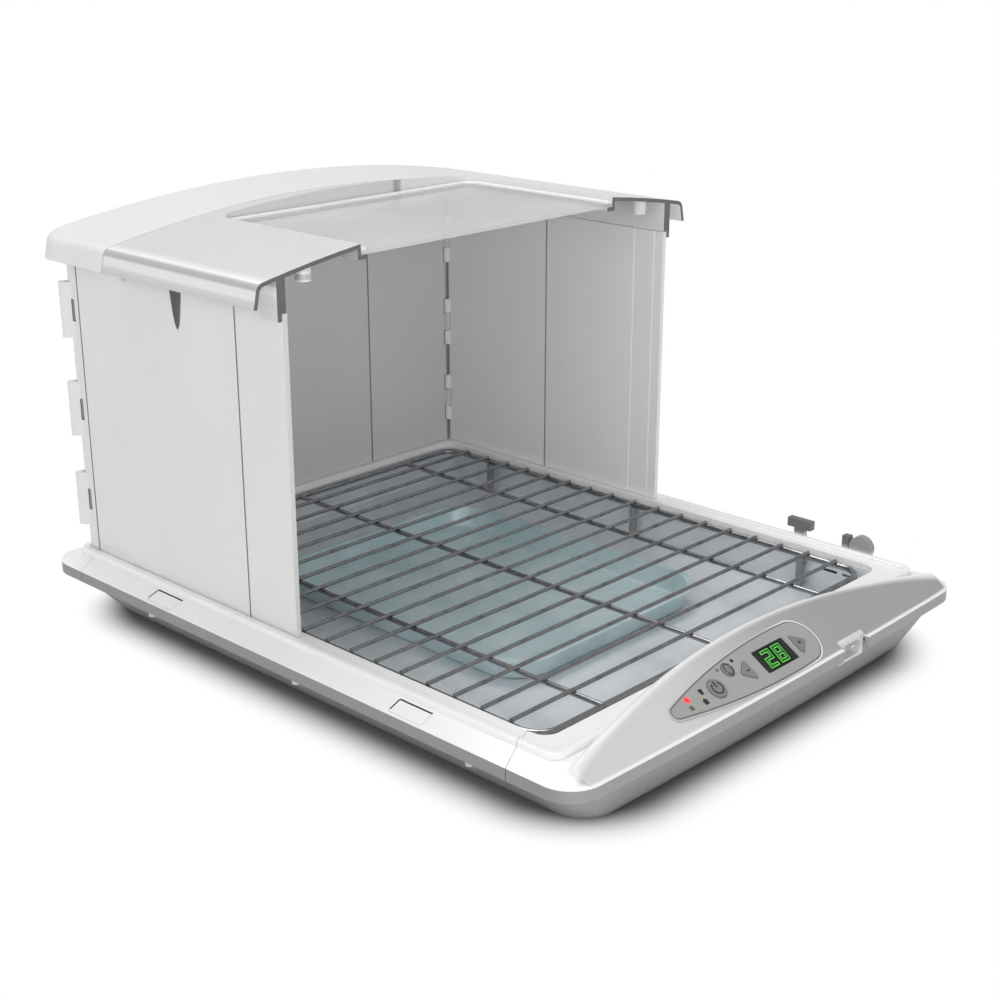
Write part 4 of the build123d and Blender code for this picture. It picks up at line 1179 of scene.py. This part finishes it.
def makeFloorWhite(s):
    # pale floor that shows plain white away from the footprint, to the eye, in metal and
    # through glass, and keeps its shadow beside the footprint, with a painted contact shadow
    # darkening its colour under and near the footprint
    paint = Paint("studioFloor", Roughness=0.7, Specular_IOR_Level=0.1)
    x, y, z = paint.axes()
    beside = [
        (axis.size() - (reach - inset - s["cornerRadius"])).most(0)
        for axis, reach, inset in zip((x, y), cadBox[1], (s["sideInset"], s["endInset"]))
    ]
    away = (beside[0] * beside[0] + beside[1] * beside[1]) ** 0.5 - s["cornerRadius"]
    # painted contact shadow: the floor's colour darkens towards and under the footprint
    tone = paint.blend(away.ramp(0, s["shadeTo"]), grey(s["contactShadowTone"]), grey(s["floorTone"]))
    paint.set(Base_Color=tone)
    seen, shiny, through = (
        paint.node("ShaderNodeLightPath", output=ray)
        for ray in ("Is Camera Ray", "Is Glossy Ray", "Is Transmission Ray")
    )
    mask = seen.most(shiny).most(through) * away.ramp(0, s["fadeTo"])
    white = paint.node("ShaderNodeEmission", None, {"Color": grey(1.0), "Strength": 1.0})
    lit = Value(paint, paint.shader.outputs[0])
    mixed = paint.node("ShaderNodeMixShader", None, {0: mask, 1: lit, 2: white})
    paint.feed(paint.tree.nodes["Material Output"].inputs["Surface"], mixed)
    return paint.material


def addFloor(s):
    half = s["floorSize"] / 2
    corners = [(-half, -half, 0), (half, -half, 0), (half, half, 0), (-half, half, 0)]
    mesh = bpy.data.meshes.new("studioFloor")
    mesh.from_pydata(corners, [], [(0, 1, 2, 3)])
    mesh.materials.append(makeFloorWhite(s))
    floor = bpy.data.objects.new("studioFloor", mesh)
    bpy.context.scene.collection.objects.link(floor)


def addWorld(s):
    # even light from all round, and plain white where it is seen directly or through glass
    world = bpy.data.worlds.new("studioWorld")
    bpy.context.scene.world = world
    world.use_nodes = True
    graph = Graph(world.node_tree)
    seen = graph.node("ShaderNodeLightPath", output="Is Camera Ray")
    through = graph.node("ShaderNodeLightPath", output="Is Transmission Ray")
    strength = graph.node(
        "ShaderNodeMapRange",
        None,
        {"Value": seen.most(through), "To Min": s["ambient"], "To Max": 1.0},
    )
    back = graph.tree.nodes["Background"]
    graph.feed(back.inputs["Color"], grey(1.0))
    graph.feed(back.inputs["Strength"], strength)


def addLamps(s):
    for name, place, aim, width, height, power in s["lamps"]:
        lamp = bpy.data.lights.new(name, "AREA")
        lamp.shape = "RECTANGLE"
        lamp.size, lamp.size_y, lamp.energy = width, height, power
        holder = bpy.data.objects.new(name, lamp)
        holder.location = place
        way = Vector(aim) - Vector(place)
        holder.rotation_euler = way.to_track_quat("-Z", "Y").to_euler()
        bpy.context.scene.collection.objects.link(holder)


addFloor(studio)
addWorld(studio)
addLamps(studio)
bpy.context.scene.view_settings.view_transform = "Standard"
print("studio")
